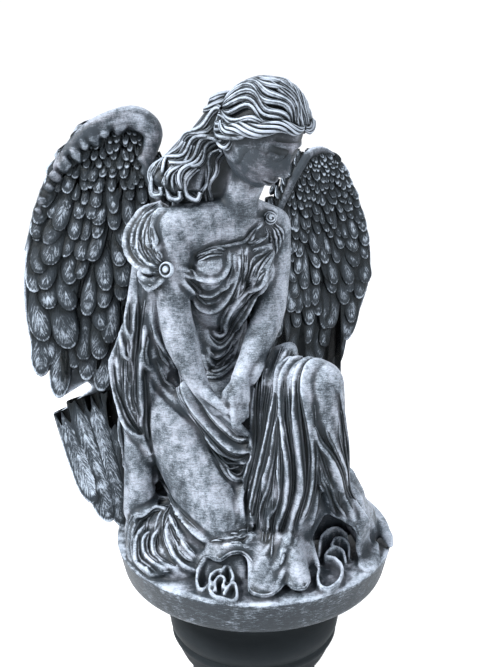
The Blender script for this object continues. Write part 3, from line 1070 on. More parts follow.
class Wing:
    """A wing in its own plane: a outwards from the root, b upwards, c towards the front."""

    def __init__(self, root, turn, side, leading, lower, roll):
        angle = math.radians(turn)
        self.side = side
        self.origin = np.array((*root, 0.0))
        self.out = np.array((math.cos(angle) * side, math.sin(angle), 0.0))
        self.front = np.array((math.sin(angle) * side, -math.cos(angle), 0.0))
        self.leading = spline(metres(leading), 90)
        self.lower = metres(lower)
        self.roll = roll
        self.steps = unit(np.gradient(self.leading, axis=0))
        lengths = np.linalg.norm(np.diff(self.leading, axis=0), axis=1)
        self.travelled = np.concatenate([[0], np.cumsum(lengths)])
        outer = self.leading[self.leading[:, 1].argmax():]
        self.outer_heights = outer[::-1, 1]
        self.outer_reach = outer[::-1, 0]

    def place(self, a, b, c):
        """World places of points of the wing, which comes forward below and curls back at its edge."""
        a, b, c = np.broadcast_arrays(*(np.asarray(v, float) for v in (a, b, c)))
        hollow = 0.022 * (np.clip(a, 0, 1) / 0.2) ** 2 + 0.047 * (1 - ease(b, 0, 0.26))
        c = c + (hollow - 0.012 * ease(b, 0.3, 0.48))
        level = self.origin + a[..., None] * self.out + c[..., None] * self.front
        return level + b[..., None] * np.array((0, 0, 1.0))

    def floor(self, a):
        """The height that the rows of feathers end at."""
        if self.side < 0:
            return float(np.interp(a, (0.0, 0.10, 0.125, 0.200), (0.190, 0.215, 0.255, 0.262)))
        return float(np.interp(a, (0.0, 0.09, 0.105, 0.130, 0.190), (0.100, 0.130, 0.170, 0.240, 0.330)))

    def edge(self, at):
        """Place, direction, inward direction and radius of the roll, at a distance along the leading edge."""
        k = int(np.searchsorted(self.travelled, at))
        step = self.steps[k]
        radius = float(np.interp(at / self.travelled[-1], *self.roll))
        return self.leading[k], step, np.array((step[1], -step[0])), radius

    def reach(self, b):
        """How far out the wing goes at a height."""
        return float(np.interp(b, self.outer_heights, self.outer_reach))

    def lean(self, b):
        """Angle of the outer edge from straight down at a height, outwards positive."""
        return math.atan((self.reach(b - 0.02) - self.reach(b + 0.02)) / 0.04)


def wing_plate(wing, thickness):
    """The wing's plate: its outline filled and thickened, netted finely and bent to the wing's hollow."""
    outline = [tuple(p) for p in wing.leading[::2]] + list(wing.lower)
    data = bpy.data.curves.new("plate", "CURVE")
    data.dimensions = "2D"
    data.fill_mode = "BOTH"
    data.extrude = thickness / 2
    run = data.splines.new("POLY")
    run.points.add(len(outline) - 1)
    for point, (a, b) in zip(run.points, outline):
        point.co = (a, b, 0, 1)
    run.use_cyclic_u = True
    holder = bpy.data.objects.new("plate", data)
    bpy.context.scene.collection.objects.link(holder)
    bpy.context.view_layer.update()
    seen = holder.evaluated_get(bpy.context.evaluated_depsgraph_get())
    plate = from_mesh(bpy.data.meshes.new_from_object(seen), "plate")
    bpy.data.objects.remove(holder)
    bpy.data.curves.remove(data)
    bm = bmesh.new()
    bm.from_mesh(plate.data)
    bmesh.ops.remove_doubles(bm, verts=bm.verts, dist=1e-5)
    bm.to_mesh(plate.data)
    bm.free()
    fuse(plate, 0.0024, 1)
    points = corners_of(plate.data)
    move_corners(plate.data, wing.place(points[:, 0], points[:, 1], points[:, 2]))
    return plate


# Radius of the roll at shares of the leading edge, for each wing
ROLL_RIGHT = ((0, 0.10, 0.20, 0.32, 0.45, 0.56, 0.70, 1),
              (0.006, 0.009, 0.014, 0.016, 0.012, 0.006, 0.003, 0.002))
ROLL_LEFT = ((0, 0.10, 0.20, 0.32, 0.45, 1), (0.005, 0.007, 0.008, 0.0055, 0.003, 0.002))


def rolled_edge(bm, wing):
    """The thick arch that the wing hangs from, thinning to the first tip."""
    path = wing.leading[::2]
    radii = np.interp(np.linspace(0, 1, len(path)), *wing.roll)
    step = unit(np.gradient(path, axis=0))
    inward = np.stack([step[:, 1], -step[:, 0]], -1)
    path = path + inward * radii[:, None] * 0.8
    rope(bm, wing.place(path[:, 0], path[:, 1], radii * 0.4), radii, 20)


def vane(rows, columns, length, width, lift, tip=0.6, curl=0.0, dome=0.14, tone=0.0):
    """A feather lying along +Y from its root: corners (x, y, z), faces, and the marks of its paint.

    The tip is rounded over tip widths of its length, and curl bends it sideways.
    """
    down = 1 - (1 - np.linspace(0, 1, rows + 1)) ** 1.6
    spread = np.sin(np.linspace(-1, 1, columns + 1) * 1.45) / math.sin(1.45)
    along, across = np.meshgrid(down, spread, indexing="ij")
    shoulder = max(0.2, 1 - tip * width / length)
    beyond = np.clip((along - shoulder) / (1 - shoulder), 0, 1)
    full = width / 2 * (0.70 + 0.30 * np.sin(np.minimum(along / shoulder, 1) * math.pi / 2))
    half = full * np.sqrt(np.clip(1 - beyond**2, 0.002, 1))
    x = across * half
    y = along * length
    out = np.sqrt((x / full) ** 2 + beyond**2)
    z = lift * along**1.4 + dome * width * np.clip(1 - out**2, 0, 1)
    z = z + 0.05 * width * np.exp(-(((out - 0.86) / 0.12) ** 2))
    stride = columns + 1
    left = [i * stride for i in range(rows + 1)]
    right = [i * stride + columns for i in range(rows + 1)]
    end = [rows * stride + j for j in range(1, columns)]
    ring = left + end + right[::-1] + [j for j in range(columns - 1, 0, -1)]
    faces = [(i * stride + j, i * stride + j + 1, (i + 1) * stride + j + 1, (i + 1) * stride + j)
             for i in range(rows) for j in range(columns)]
    faces.append(tuple(ring))
    marks = {"lines": y.reshape(-1), "edge": ((1 - out) * full).reshape(-1), "centre": x.reshape(-1)}
    marks.update(feather=1.0, line_depth=1.0, tone=tone)
    return np.stack([x + curl * width * along**2, y, z], -1).reshape(-1, 3), faces, marks


def lay(shells, wing, a, b, angle, shape, face, sink=0.0):
    """A feather laid on a face of the wing, its root at (a, b) and its tip down, turned outwards by angle."""
    corners, faces, marks = shape
    x, y, z = corners.T
    down = y * math.cos(angle) - x * math.sin(angle)
    outwards = y * math.sin(angle) + x * math.cos(angle)
    shells.add(wing.place(a + outwards, b - down, (z + sink) * face), faces, **marks)


EDGE_MARGIN = 0.0015         # a feather stays this far inside the wing's outer edge


def kept_inside(wing, a, b, angle, length, size, roots=0.0):
    """The place and angle of a feather, turned and moved inwards where it would pass the outer edge."""
    a = min(a, wing.reach(b + roots) - size * 0.5 - EDGE_MARGIN)
    spare = wing.reach(b + roots - length) - size * 0.42 - EDGE_MARGIN - a
    return a, min(angle, math.asin(max(-0.9, min(0.9, spare / length))))


def covering(shells, wing, face, seed, plate):
    """Rows of feathers from the arch down, each row longer and broader and laid under the one above."""
    chance = random.Random(seed)
    fine = face > 0
    right = wing.side < 0
    top = wing.outer_heights.max()
    inner_heights = (0.0, 0.03, 0.10, 0.16) if right else (0.0, 0.04, 0.12, 0.20)
    inner_places = (0.050, 0.030, 0.006, -0.034) if right else (0.075, 0.035, -0.010, -0.030)
    laid = []
    b = top - (0.026 if right else 0.012)
    row = 0
    while b > (0.225 if right else 0.150):
        height = top - b
        width = float(np.interp(height, (0.01, 0.08, 0.11, 0.156, 0.20, 0.25),
                                (0.0090, 0.0140, 0.0175, 0.0215, 0.0265, 0.0290)))
        width *= (1.0 if right else 0.90) * (1.0 if fine else 1.35)
        spacing = float(np.interp(height, (0.02, 0.08, 0.16, 0.27), (0.80, 1.00, 1.20, 1.30)))
        reach = wing.reach(b) - width * 0.60
        inner = float(np.interp(height, inner_heights, inner_places))
        count = max(2, round((reach - inner) / (width * (0.78 if fine else 0.86))))
        for number in range(count):
            share = (number + (0.5 if row % 2 else 0.0)) / (count - 0.5)
            a = inner + share * (reach - inner)
            angle = wing.lean(b) * share**3 + 0.20 * (share - 0.45) + chance.uniform(-0.24, 0.24)
            size = width * chance.uniform(0.80, 1.22)
            if share > 0.75 and height > 0.10:
                size *= 1.15
            laid.append((b + chance.uniform(-0.35, 0.35) * width, a, angle, size, size * spacing))
        b -= width * spacing
        row += 1
    for b, a, angle, size, shown in sorted(laid):
        length = shown * chance.uniform(1.5, 1.9) + size * 0.5
        if b - 0.60 * length < wing.floor(a):
            continue
        a, angle = kept_inside(wing, a, b, angle, length, size, length * 0.40)
        down, across = (8, 5) if fine and size > 0.017 else (6, 4) if fine else (4, 3)
        shape = vane(down, across, length, size, 0.0030 + size * 0.16, chance.uniform(0.55, 1.05),
                     chance.uniform(-0.22, 0.22), 0.13, chance.uniform(-0.25, 0.25))
        lay(shells, wing, a, b + length * 0.40, angle, shape, face, plate / 2 - 0.0012)


LONG_RIGHT = (  # root (a, b), tip (a, b), width
    ((0.170, 0.350), (0.1775, 0.232), 0.030), ((0.142, 0.350), (0.1550, 0.200), 0.030),
    ((0.158, 0.340), (0.1660, 0.246), 0.022), ((0.118, 0.340), (0.1340, 0.240), 0.024),
    ((0.100, 0.330), (0.1180, 0.222), 0.028), ((0.075, 0.330), (0.0980, 0.205), 0.030),
    ((0.045, 0.330), (0.0720, 0.196), 0.032), ((0.020, 0.330), (0.0450, 0.188), 0.032),
)
PANEL_RIGHT = (
    ((0.153, 0.182), (0.106, 0.050), 0.034), ((0.134, 0.196), (0.088, 0.022), 0.036),
    ((0.112, 0.202), (0.068, 0.014), 0.036), ((0.088, 0.206), (0.048, 0.012), 0.036),
    ((0.062, 0.210), (0.030, 0.010), 0.036), ((0.036, 0.210), (0.010, 0.012), 0.036),
)
LONG_LEFT = (
    ((0.176, 0.390), (0.1400, 0.244), 0.034), ((0.156, 0.372), (0.1180, 0.206), 0.034),
    ((0.132, 0.360), (0.1060, 0.152), 0.036), ((0.108, 0.340), (0.0900, 0.104), 0.038),
    ((0.080, 0.330), (0.0660, 0.066), 0.038), ((0.050, 0.330), (0.0420, 0.044), 0.038),
    ((0.020, 0.320), (0.0140, 0.040), 0.038),
)


def long_feathers(shells, wing, face, plate):
    """The long feathers that run to the wing's lower edge."""
    fine = face > 0
    chance = random.Random(5)
    runs = LONG_RIGHT + PANEL_RIGHT if wing.side < 0 else LONG_LEFT
    for (a0, b0), (a1, b1), width in runs:
        length = math.hypot(a1 - a0, b1 - b0)
        angle = math.atan2(a1 - a0, b0 - b1)
        rows = max(8, round(length / 0.012)) if fine else 6
        shape = vane(rows, 6 if fine else 3, length, width, 0.0040, 1.1, 0.0, 0.10, chance.uniform(-0.2, 0.2))
        lay(shells, wing, a0, b0, angle, shape, face, plate / 2 - 0.001)


def arch_feathers(shells, wing, seed):
    """Broad feathers that overlap along the back of the rolled edge."""
    chance = random.Random(seed)
    at = 0.03
    while at < wing.travelled[-1] - 0.06:
        place, tangent, inward, roll = wing.edge(at)
        size = float(np.interp(at / wing.travelled[-1], (0, 0.3, 0.6, 1), (0.0150, 0.0185, 0.0240, 0.0270)))
        centre = place + inward * max(roll * 0.9, size * 0.62)
        angle = math.atan2(tangent[0], -tangent[1]) - 0.45 + chance.uniform(-0.15, 0.15)
        length = size * chance.uniform(1.5, 1.8)
        shape = vane(5, 3, length, size, 0.0028, chance.uniform(0.5, 0.7), 0.0, 0.16,
                     chance.uniform(0.0, 0.3))
        lay(shells, wing, *centre, angle, shape, -1, roll * 0.5 - 0.001)
        at += size * 1.25


FRINGE_START = 0.050         # along the leading edge
FRINGE_END = 0.60            # as a share of the leading edge
FRINGE_PITCH = 0.0105        # from knob to knob
KNOB_SIZE = 0.60             # a knob's radius as a share of the pitch


def arch_fringe(bm, wing):
    """The row of knobs under the roll, where its small feathers end."""
    at = FRINGE_START
    number = 0
    while at < wing.travelled[-1] * FRINGE_END:
        place, tangent, inward, roll = wing.edge(at)
        size = FRINGE_PITCH * KNOB_SIZE * (1.0 + 0.20 * math.sin(2.4 * number))
        lean = tangent * roll * (0.35 + 0.2 * math.sin(3.1 * number))
        reach = 1.65 + 0.18 * math.sin(1.7 * number)
        knobs = []
        for out, rise, share in ((0.90, 0.70, 0.80), (1.35, 0.70, 0.95), (reach, 0.30, 0.80)):
            knob = place + inward * roll * out + lean * out
            knobs.append((*wing.place(*knob, roll * rise), size * share))
        limb(bm, *knobs)
        at += FRINGE_PITCH * (1.0 + 0.12 * math.sin(1.3 * number))
        number += 1


# Fusing and carving

ROLL_SHADE_REACH = 0.021     # how far from the leading edge the roll's paint is darkened
ROLL_SHADE = -0.45           # and by how much
NARROW_FOLD = 0.0040         # narrow folds are pinched more
PINCHED_NARROW = 0.78        # radius of the pinched edge as a share of a narrow fold's width
PINCHED_WIDE = 0.50          # and of a wide fold's


def within(places, path, reach):
    """Numbers of the places in the box round a path, widened by reach."""
    inside = (places > path.min(0) - reach) & (places < path.max(0) + reach)
    return np.all(inside, axis=1).nonzero()[0]


def darken_rolls(mesh, wings):
    """Less pale paint on the front and underside of the rolled edges than on their tops."""
    places = corners_of(mesh)
    upward = normals_of(mesh)[:, 2]
    tone = np.zeros(len(places))
    for wing in wings:
        roll = wing.place(*wing.leading[:66].T, 0.0)
        near = within(places, roll, 0.020)
        away = np.linalg.norm(places[near][:, None] - roll[None], axis=-1).min(1)
        tone[near[away < ROLL_SHADE_REACH]] = ROLL_SHADE
    write_values(mesh, "tone", tone * (1 - ease(upward, 0.45, 0.95)))


def from_mesh(mesh, name):
    made = bpy.data.objects.new(name, mesh)
    bpy.context.scene.collection.objects.link(made)
    return made


def from_bmesh(bm, name):
    mesh = bpy.data.meshes.new(name)
    bm.to_mesh(mesh)
    bm.free()
    return from_mesh(mesh, name)


def apply_modifiers(target):
    bpy.context.view_layer.update()
    seen = target.evaluated_get(bpy.context.evaluated_depsgraph_get())
    mesh = bpy.data.meshes.new_from_object(seen)
    old = target.data
    target.modifiers.clear()
    target.data = mesh
    bpy.data.meshes.remove(old)


def fuse(target, grain, smoothing):
    """Join all overlapping shapes of a mesh into one closed skin."""
    net = target.modifiers.new("one skin", "REMESH")
    net.mode = "VOXEL"
    net.voxel_size = grain
    if smoothing:
        soft = target.modifiers.new("soften", "SMOOTH")
        soft.iterations = smoothing
    apply_modifiers(target)


def corners_of(mesh):
    values = np.empty(len(mesh.vertices) * 3)
    mesh.vertices.foreach_get("co", values)
    return values.reshape(-1, 3)


def normals_of(mesh):
    values = np.empty(len(mesh.vertices) * 3)
    mesh.vertex_normals.foreach_get("vector", values)
    return values.reshape(-1, 3)


def move_corners(mesh, places):
    mesh.vertices.foreach_set("co", np.asarray(places).ravel())
    mesh.update()


def carve_folds(target):
    """Raise every fold of the dress on the masses and sink the grooves between them.

    The folds of a family differ a little in width and height and wander, as cloth does.
    Gives back the crest line of each fold that shows in front, with a radius for its pinched edge.
    """
    ridges = []
    mesh = target.data
    places = corners_of(mesh)
    outward = normals_of(mesh)
    skin = BVHTree.FromObject(target, bpy.context.evaluated_depsgraph_get())
    chance = random.Random(7)
    crest = np.zeros(len(places))
    groove = np.zeros(len(places))
    steps = 64
    share = np.linspace(0, 1, steps)
    for family in FOLDS:
        for path in between(family.first, family.last, family.count, steps):
            several = family.count > 1
            wide = family.width * (chance.uniform(0.75, 1.05) if several else 0.85)
            tall = family.lift * (chance.uniform(0.70, 1.20) if several else 1)
            start, end = (chance.uniform(0, 0.12), chance.uniform(0.88, 1)) if several else (0, 1)
            found = [skin.find_nearest(Vector(p)) for p in path / 1000]
            path = np.array([hit[0] for hit in found])
            facing = np.array([hit[1] for hit in found])
            direction = unit(np.gradient(path, axis=0))
            sideways = unit(np.cross(direction, facing))
            sway = np.sin(share * chance.uniform(5, 11) + chance.uniform(0, 6)) * wide
            path = path + sideways * (sway * (0.45 if several else 0.15))[:, None]
            taper = ease(share, start - 0.01, start + 0.16) * (1 - ease(share, end - 0.16, end + 0.01))
            taper = taper**0.7 * (1 + 0.18 * np.sin(share * chance.uniform(8, 15) + chance.uniform(0, 6)))
            if family.lift > 0 and path[:, 1].mean() < 0.04 and facing[:, 1].mean() < 0.1:
                pinched = PINCHED_NARROW if family.width < NARROW_FOLD else PINCHED_WIDE
                ridges.append((path[2:-2:3], (0.0003 + pinched * wide * taper)[2:-2:3]))
            near = within(places, path, 3.2 * wide)
            if not len(near):
                continue
            offset = places[near][:, None] - path[None]
            away = (offset**2).sum(-1)
            closest = away.argmin(1)
            row = np.arange(len(near))
            offset = offset[row, closest]
            along = (offset * direction[closest]).sum(-1)
            inside = (closest > 0) & (closest < steps - 1)
            square = away[row, closest] - np.where(inside, along**2, 0)
            side = (offset * sideways[closest]).sum(-1)
            distance = np.sqrt(np.maximum(square, 0)) / (wide * (1 + family.lean * np.tanh(2 * side / wide)))
            alike = (facing[closest] * outward[near]).sum(-1).clip(0, 1)
            height = abs(tall) * taper[closest] * (0.3 + 0.7 * alike)
            if family.lift < 0:
                groove[near] = np.maximum(groove[near], height * np.exp(-distance**1.7))
            else:
                crest[near] = np.maximum(crest[near], height * np.exp(-distance**1.2))
                beside = 0.55 * height * np.exp(-(((distance - 1.9) / 0.8) ** 2))
                groove[near] = np.maximum(groove[near], beside)
    rise = crest - groove * (1 - np.clip(crest / 0.003, 0, 1))
    move_corners(mesh, places + outward * rise[:, None])
    return ridges


def edge_pairs(mesh):
    """The two corners of each edge."""
    pairs = np.empty(len(mesh.edges) * 2, int)
    mesh.edges.foreach_get("vertices", pairs)
    return pairs.reshape(-1, 2)


def neighbours_mean(values, pairs, count):
    """The mean of each corner's neighbours."""
    first, second = pairs.T
    total = np.stack([np.bincount(first, column[second], count) + np.bincount(second, column[first], count)
                      for column in values.T], -1)
    linked = np.bincount(pairs.ravel(), minlength=count)
    return total / np.maximum(linked, 1)[:, None]


def write_values(mesh, name, values):
    layer = mesh.attributes.get(name) or mesh.attributes.new(name, "FLOAT", "POINT")
    layer.data.foreach_set("value", np.asarray(values, np.float32))


def write_crests(mesh, strength=1.0):
    """How far each corner stands out of the skin round it, fine and broad, as a share of the mesh's grain."""
    pairs = edge_pairs(mesh)
    first, second = pairs.T
    places = corners_of(mesh)
    outward = normals_of(mesh)
    count = len(places)
    lengths = np.linalg.norm(places[first] - places[second], axis=1)
    around = np.bincount(first, lengths, count) + np.bincount(second, lengths, count)
    grain = around / np.maximum(np.bincount(pairs.ravel(), minlength=count), 1)
    smooth = places
    found = {}
    for turn in range(1, 9):
        smooth = neighbours_mean(smooth, pairs, count)
        if turn == 2:
            found["crest"] = ((places - smooth) * outward).sum(-1)
        if turn == 8:
            found["ridge"] = ((places - smooth) * outward).sum(-1)
    for name, height in found.items():
        value = height / np.maximum(grain, 1e-6)
        value = (neighbours_mean(value[:, None], pairs, count)[:, 0] + value) * 0.5 * strength
        write_values(mesh, name, np.clip(value, -2, 2))


def write_shelter(mesh, rays=12, far=0.045, close=0.010):
    """How much of the sky above each corner is blocked, by anything near and by anything close."""
    places = corners_of(mesh)
    outward = normals_of(mesh)
    tree = BVHTree.FromPolygons(places.tolist(), [tuple(p.vertices) for p in mesh.polygons])
    golden = math.pi * (3 - math.sqrt(5))
    number = np.arange(rays)
    share = (number + 0.5) / rays
    spread = np.sqrt(share)
    turn = number * golden
    fan = np.stack([spread * np.cos(turn), spread * np.sin(turn), np.sqrt(1 - share)], -1)
    helper = np.where(np.abs(outward[:, 2:3]) < 0.9, (0, 0, 1.0), (1.0, 0, 0))
    across = unit(np.cross(outward, helper))
    over = np.cross(outward, across)
    starts = [Vector(p) for p in (places + outward * 0.0005).tolist()]
    shelter = np.zeros(len(places))
    nook = np.zeros(len(places))
    cast = tree.ray_cast
    for x, y, z in fan:
        ways = (across * x + over * y + outward * z).tolist()
        for k, way in enumerate(ways):
            hit = cast(starts[k], way, far)[3]
            if hit is not None:
                shelter[k] += 1 - hit / far
                if hit < close:
                    nook[k] += 1 - hit / close
    both = np.stack([shelter, nook], -1) / rays
    both = (both + neighbours_mean(both, edge_pairs(mesh), len(places))) / 2
    write_values(mesh, "shelter", both[:, 0])
    write_values(mesh, "nook", both[:, 1])


def shells_mesh(shells, name):
    """The shells as one mesh, every shell's faces turned outwards, with its marks."""
    mesh = bpy.data.meshes.new(name)
    mesh.from_pydata(np.vstack(shells.corners).tolist(), [], shells.faces)
    bm = bmesh.new()
    bm.from_mesh(mesh)
    bmesh.ops.recalc_face_normals(bm, faces=bm.faces)
    bm.to_mesh(mesh)
    bm.free()
    for mark, values in shells.marked.items():
        write_values(mesh, mark, np.concatenate(values))
    return mesh


def smooth_shade(mesh):
    mesh.polygons.foreach_set("use_smooth", [True] * len(mesh.polygons))
    mesh.update()


# Materials

class Value:
    """A shader socket. Sums of numbers add Math nodes, and colours go through mixed."""

    tree = None

    def __init__(self, socket):
        self.socket = socket

    @staticmethod
    def node(kind, settings=None, **inputs):
        """Any other node: its settings are set first, then its sockets are filled or linked.

        A socket goes by its name, or by its number as i0, i1 and so on.
        """
        made = Value.tree.nodes.new(kind)
        for key, setting in (settings or {}).items():
            setattr(made, key, setting)
        for key, given in inputs.items():
            socket = made.inputs[int(key[1:]) if key[1:].isdigit() else key.replace("_", " ")]
            if isinstance(given, Value):
                Value.tree.links.new(given.socket, socket)
            else:
                socket.default_value = given
        return made

    @staticmethod
    def maths(operation, *values):
        made = Value.node("ShaderNodeMath", {"operation": operation},
                          **{f"i{k}": value for k, value in enumerate(values)})
        return Value(made.outputs[0])

    def __add__(self, other):
        return Value.maths("ADD", self, other)

    __radd__ = __add__

    def __sub__(self, other):
        return Value.maths("SUBTRACT", self, other)

    def __rsub__(self, other):
        return Value.maths("SUBTRACT", other, self)

    def __mul__(self, other):
        return Value.maths("MULTIPLY", self, other)

    __rmul__ = __mul__

    def between(self, low, high):
        """0 below low, 1 above high, smooth between."""
        made = Value.node("ShaderNodeMapRange", {"interpolation_type": "SMOOTHSTEP"}, Value=self,
                          From_Min=low, From_Max=high)
        return Value(made.outputs[0])

    def held(self):
        """Kept between 0 and 1."""
        return Value(Value.node("ShaderNodeClamp", Value=self).outputs[0])


def attribute(name):
    settings = {"attribute_name": name, "attribute_type": "GEOMETRY"}
    return Value(Value.node("ShaderNodeAttribute", settings).outputs["Fac"])


def own_place():
    """The place on the piece, in metres."""
    return Value(Value.node("ShaderNodeTexCoord").outputs["Object"])


def height_of(place):
    return Value(Value.node("ShaderNodeSeparateXYZ", None, Vector=place).outputs["Z"])


def mixed(share, first, second):
    """Two colours mixed by a share."""
    made = Value.node("ShaderNodeMix", {"data_type": "RGBA"}, i0=share, i6=first, i7=second)
    return Value(made.outputs[2])


def noise(place, scale, detail=4.0, roughness=0.55, distortion=0.0):
    made = Value.node("ShaderNodeTexNoise", None, Vector=place, Scale=scale, Detail=detail,
                      Roughness=roughness, Distortion=distortion)
    return Value(made.outputs["Fac"])


def strokes(place, factors):
    """Noise drawn out into brush strokes."""
    made = Value.node("ShaderNodeVectorMath", {"operation": "MULTIPLY"}, i0=place, i1=factors)
    return noise(Value(made.outputs[0]), 1.0, 4.0, 0.65, 0.3)


def opened_material(name):
    made = bpy.data.materials.new(name)
    made.use_nodes = True
    Value.tree = made.node_tree
    return made, made.node_tree.nodes["Principled BSDF"]


def link(value, node, socket):
    Value.tree.links.new(value.socket, node.inputs[socket])


def add_bump(shader, height, strength, distance):
    made = Value.node("ShaderNodeBump", None, Height=height, Strength=strength, Distance=distance)
    link(Value(made.outputs[0]), shader, "Normal")


def solid(colour):
    return (*colour, 1.0)


def weathered_casting(colours):
    """Dark paint with pale blue-grey paint brushed over the raised parts.

    The pale paint is thin on smooth parts and gone in the hollows.
    """
    made, shader = opened_material("weathered casting")
    place = own_place()
    upward = height_of(Value(Value.node("ShaderNodeNewGeometry").outputs["Normal"]))
    side = 1 - height_of(place).between(BASE_TOP - 0.0035, BASE_TOP - 0.0010)
    crest = attribute("crest")
    ridge = attribute("ridge")
    shelter = attribute("shelter")
    nook = attribute("nook")
    depth = attribute("line_depth")
    feather = attribute("feather")
    edge = attribute("edge")
    lines = attribute("lines")
    tone = attribute("tone")
    centre = Value.maths("ABSOLUTE", attribute("centre"))
    plain = 1 - feather
    hair = depth * plain

    dab = noise(place, 420.0, 3.0, 0.7)
    speck = noise(place, 1000.0, 2.0, 0.6)
    cloud = noise(place, 26.0, 4.0, 0.6)
    patch = noise(place, 105.0, 4.0, 0.65)
    level = strokes(place, (120.0, 120.0, 900.0))
    upright = strokes(place, (800.0, 800.0, 110.0))

    # the barbs of a feather slant from its quill to its tip, and the strands of a lock run along it
    wander = (patch - 0.5) * 0.0040
    slant = (centre - lines * 0.32 + wander) * 680.0 + tone * 40.0
    run = Value(Value.node("ShaderNodeCombineXYZ", None, X=slant, Y=lines * 110.0, Z=tone * 9.0).outputs[0])
    barb = noise(run, 1.0, 3.0, 0.60).between(0.32, 0.68)
    strand = Value.maths("SINE", (lines + wander * 0.2) * (2 * math.pi / 0.0016)) * 0.5 + 0.5
    rim = (1 - edge.between(0.0008, 0.0024)) * patch.between(0.28, 0.52)
    gap = edge.between(0.0016, 0.0030) * (1 - edge.between(0.0034, 0.0060))
    quill = 1 - centre.between(0.0003, 0.0011)
    plume = rim * 0.85 + quill * 0.12 - gap * 0.30 + (barb - 0.5) * 1.05 + tone * 0.45 - 0.02

    brushed = crest * (0.18 + patch.between(0.30, 0.62) * 0.50)
    waved = hair * ((strand - 0.5) * 0.7 + upward * 0.50 + 0.34)
    cast = (ridge * 0.20 + 0.12).held() - 0.12 + brushed + waved
    raised = plume * feather + (cast + tone * 0.9) * plain
    stroked = ((level - 0.5) * 1.3 + (upright - 0.5) * 0.5) * plain
    mottle = (dab - 0.5) * 0.5 + (speck - 0.5) * 0.9 + (patch - 0.5) * 1.0 + (cloud - 0.5) * 2.1 + stroked
    sunk = (nook * (1.6 + feather * 0.9) + shelter * (0.60 + feather * 0.25 - upward * 0.25)
            - crest * 0.9 * plain + gap * feather * 0.15 + side * (0.36 - (level - 0.5) * 0.6)).held()
    worn = raised * 0.85 + upward * 0.11 + mottle * 0.70 + 0.22 - sunk * 1.05
    worn = worn + side * ((level - 0.5) * 1.1 + 0.02)
    pale = worn.between(-0.12, 1.06)
    bloom = ((cloud + patch * 0.5 - 0.70) * 4.0).held() * (1 - sunk) * plain * (1 - side)

    colour = mixed(pale, solid(colours.ground), solid(colours.brushed))
    colour = mixed(bloom * 0.30, colour, solid(colours.bloom))
    colour = mixed(sunk, colour, solid(colours.recess))
    link(colour, shader, "Base Color")
    link((0.46 - pale * 0.06 + (speck - 0.5) * 0.25 + (patch - 0.5) * 0.15).held(), shader, "Roughness")
    shader.inputs["Specular IOR Level"].default_value = 0.15
    relief = barb * feather * 0.9 + strand * hair * 0.8 + rim * feather * 0.7 - gap * feather * 0.5
    relief = relief + (level + upright) * 0.25 + speck * 0.25 + dab * 0.35
    add_bump(shader, relief, 0.8, 0.0009)
    return made


def dark_casting(colours):
    """The pedestal's near-black paint, worn a little paler on its rings and speckled."""
    made, shader = opened_material("dark casting")
    place = own_place()
    cloud = noise(place, 22.0, 5.0, 0.6)
    speck = noise(place, 700.0, 2.0, 0.6)
    stroke = strokes(place, (60.0, 60.0, 600.0))
    worn = attribute("crest") * 3.0 + (cloud - 0.5) * 1.2 + (stroke - 0.5) * 0.8 + (speck - 0.5) * 0.5
    worn = worn.held()
    colour = mixed(worn * 0.12, solid(colours.recess), solid(colours.ground))
    link(colour, shader, "Base Color")
    link((0.68 - worn * 0.15 + (speck - 0.5) * 0.2).held(), shader, "Roughness")
    shader.inputs["Specular IOR Level"].default_value = 0.10
    add_bump(shader, stroke * 0.4 + speck * 0.4, 0.5, 0.0006)
    return made


def pale_floor():
    """Almost white, and lit a little from within so that it runs into the backdrop."""
    made, shader = opened_material("pale floor")
    colour = mixed(noise(own_place(), 3.0, 3.0), (0.80, 0.80, 0.80, 1.0), (0.83, 0.83, 0.83, 1.0))
    link(colour, shader, "Base Color")
    shader.inputs["Roughness"].default_value = 0.8
    shader.inputs["Emission Color"].default_value = (1.0, 1.0, 1.0, 1.0)
    shader.inputs["Emission Strength"].default_value = 0.22
    return made


# Pieces

def draped_figure(grain):
    """The body in its dress, with the folds carved, and the folds' crest lines."""
    bm = bmesh.new()
    for part in (torso, arms, legs, cloth, arm_drape):
        part(bm)
    body = from_bmesh(bm, "angel_casting")
    fuse(body, grain, 7)
    return body, carve_folds(body)


def add_thin_parts(body, wings, sizes):
    """Join what the folds are not carved into: hands, hair, hem, base and the wings' plates."""
    bm = bmesh.new()
    bm.from_mesh(body.data)
    for part in (hands, hair_mass, hem, base):
        part(bm)
    for wing in wings:
        plate = wing_plate(wing, sizes.wing_sheet)
        bm.from_mesh(plate.data)
        bpy.data.objects.remove(plate)
        rolled_edge(bm, wing)
        if wing.side < 0:
            arch_fringe(bm, wing)
    bm.to_mesh(body.data)
    bm.free()
    fuse(body, sizes.grain, 1)
    write_crests(body.data)
    darken_rolls(body.data, wings)


def crisp_details(body, ridges, wings, plate):
    """What is too fine for the fused skin, as closed shells laid on it."""
    skin = BVHTree.FromObject(body, bpy.context.evaluated_depsgraph_get())
    shells = Shells()
    shells.add(*head_grid(), tone=HEAD_TONE)
    for detail in (brooch, shoulder_knot, hem_edges, head_locks, hairline_roll):
        detail(shells)
    loose_locks(shells, skin)
    shoulder_curls(shells, skin)
    fold_edges(shells, skin, ridges)
    for number, wing in enumerate(wings):
        for face in (1, -1):
            covering(shells, wing, face, 11 + number, plate)
            long_feathers(shells, wing, face, plate)
        arch_feathers(shells, wing, 21 + number)
    return shells


def reduce_facets(target, wanted):
    """Leave about the wanted number of triangles."""
    if wanted <= 0:
        raise ValueError("The feathers and hair alone have more facets than the whole casting may have")
    fewer = target.modifiers.new("fewer facets", "DECIMATE")
    fewer.ratio = wanted / sum(len(face.vertices) - 2 for face in target.data.polygons)
    apply_modifiers(target)


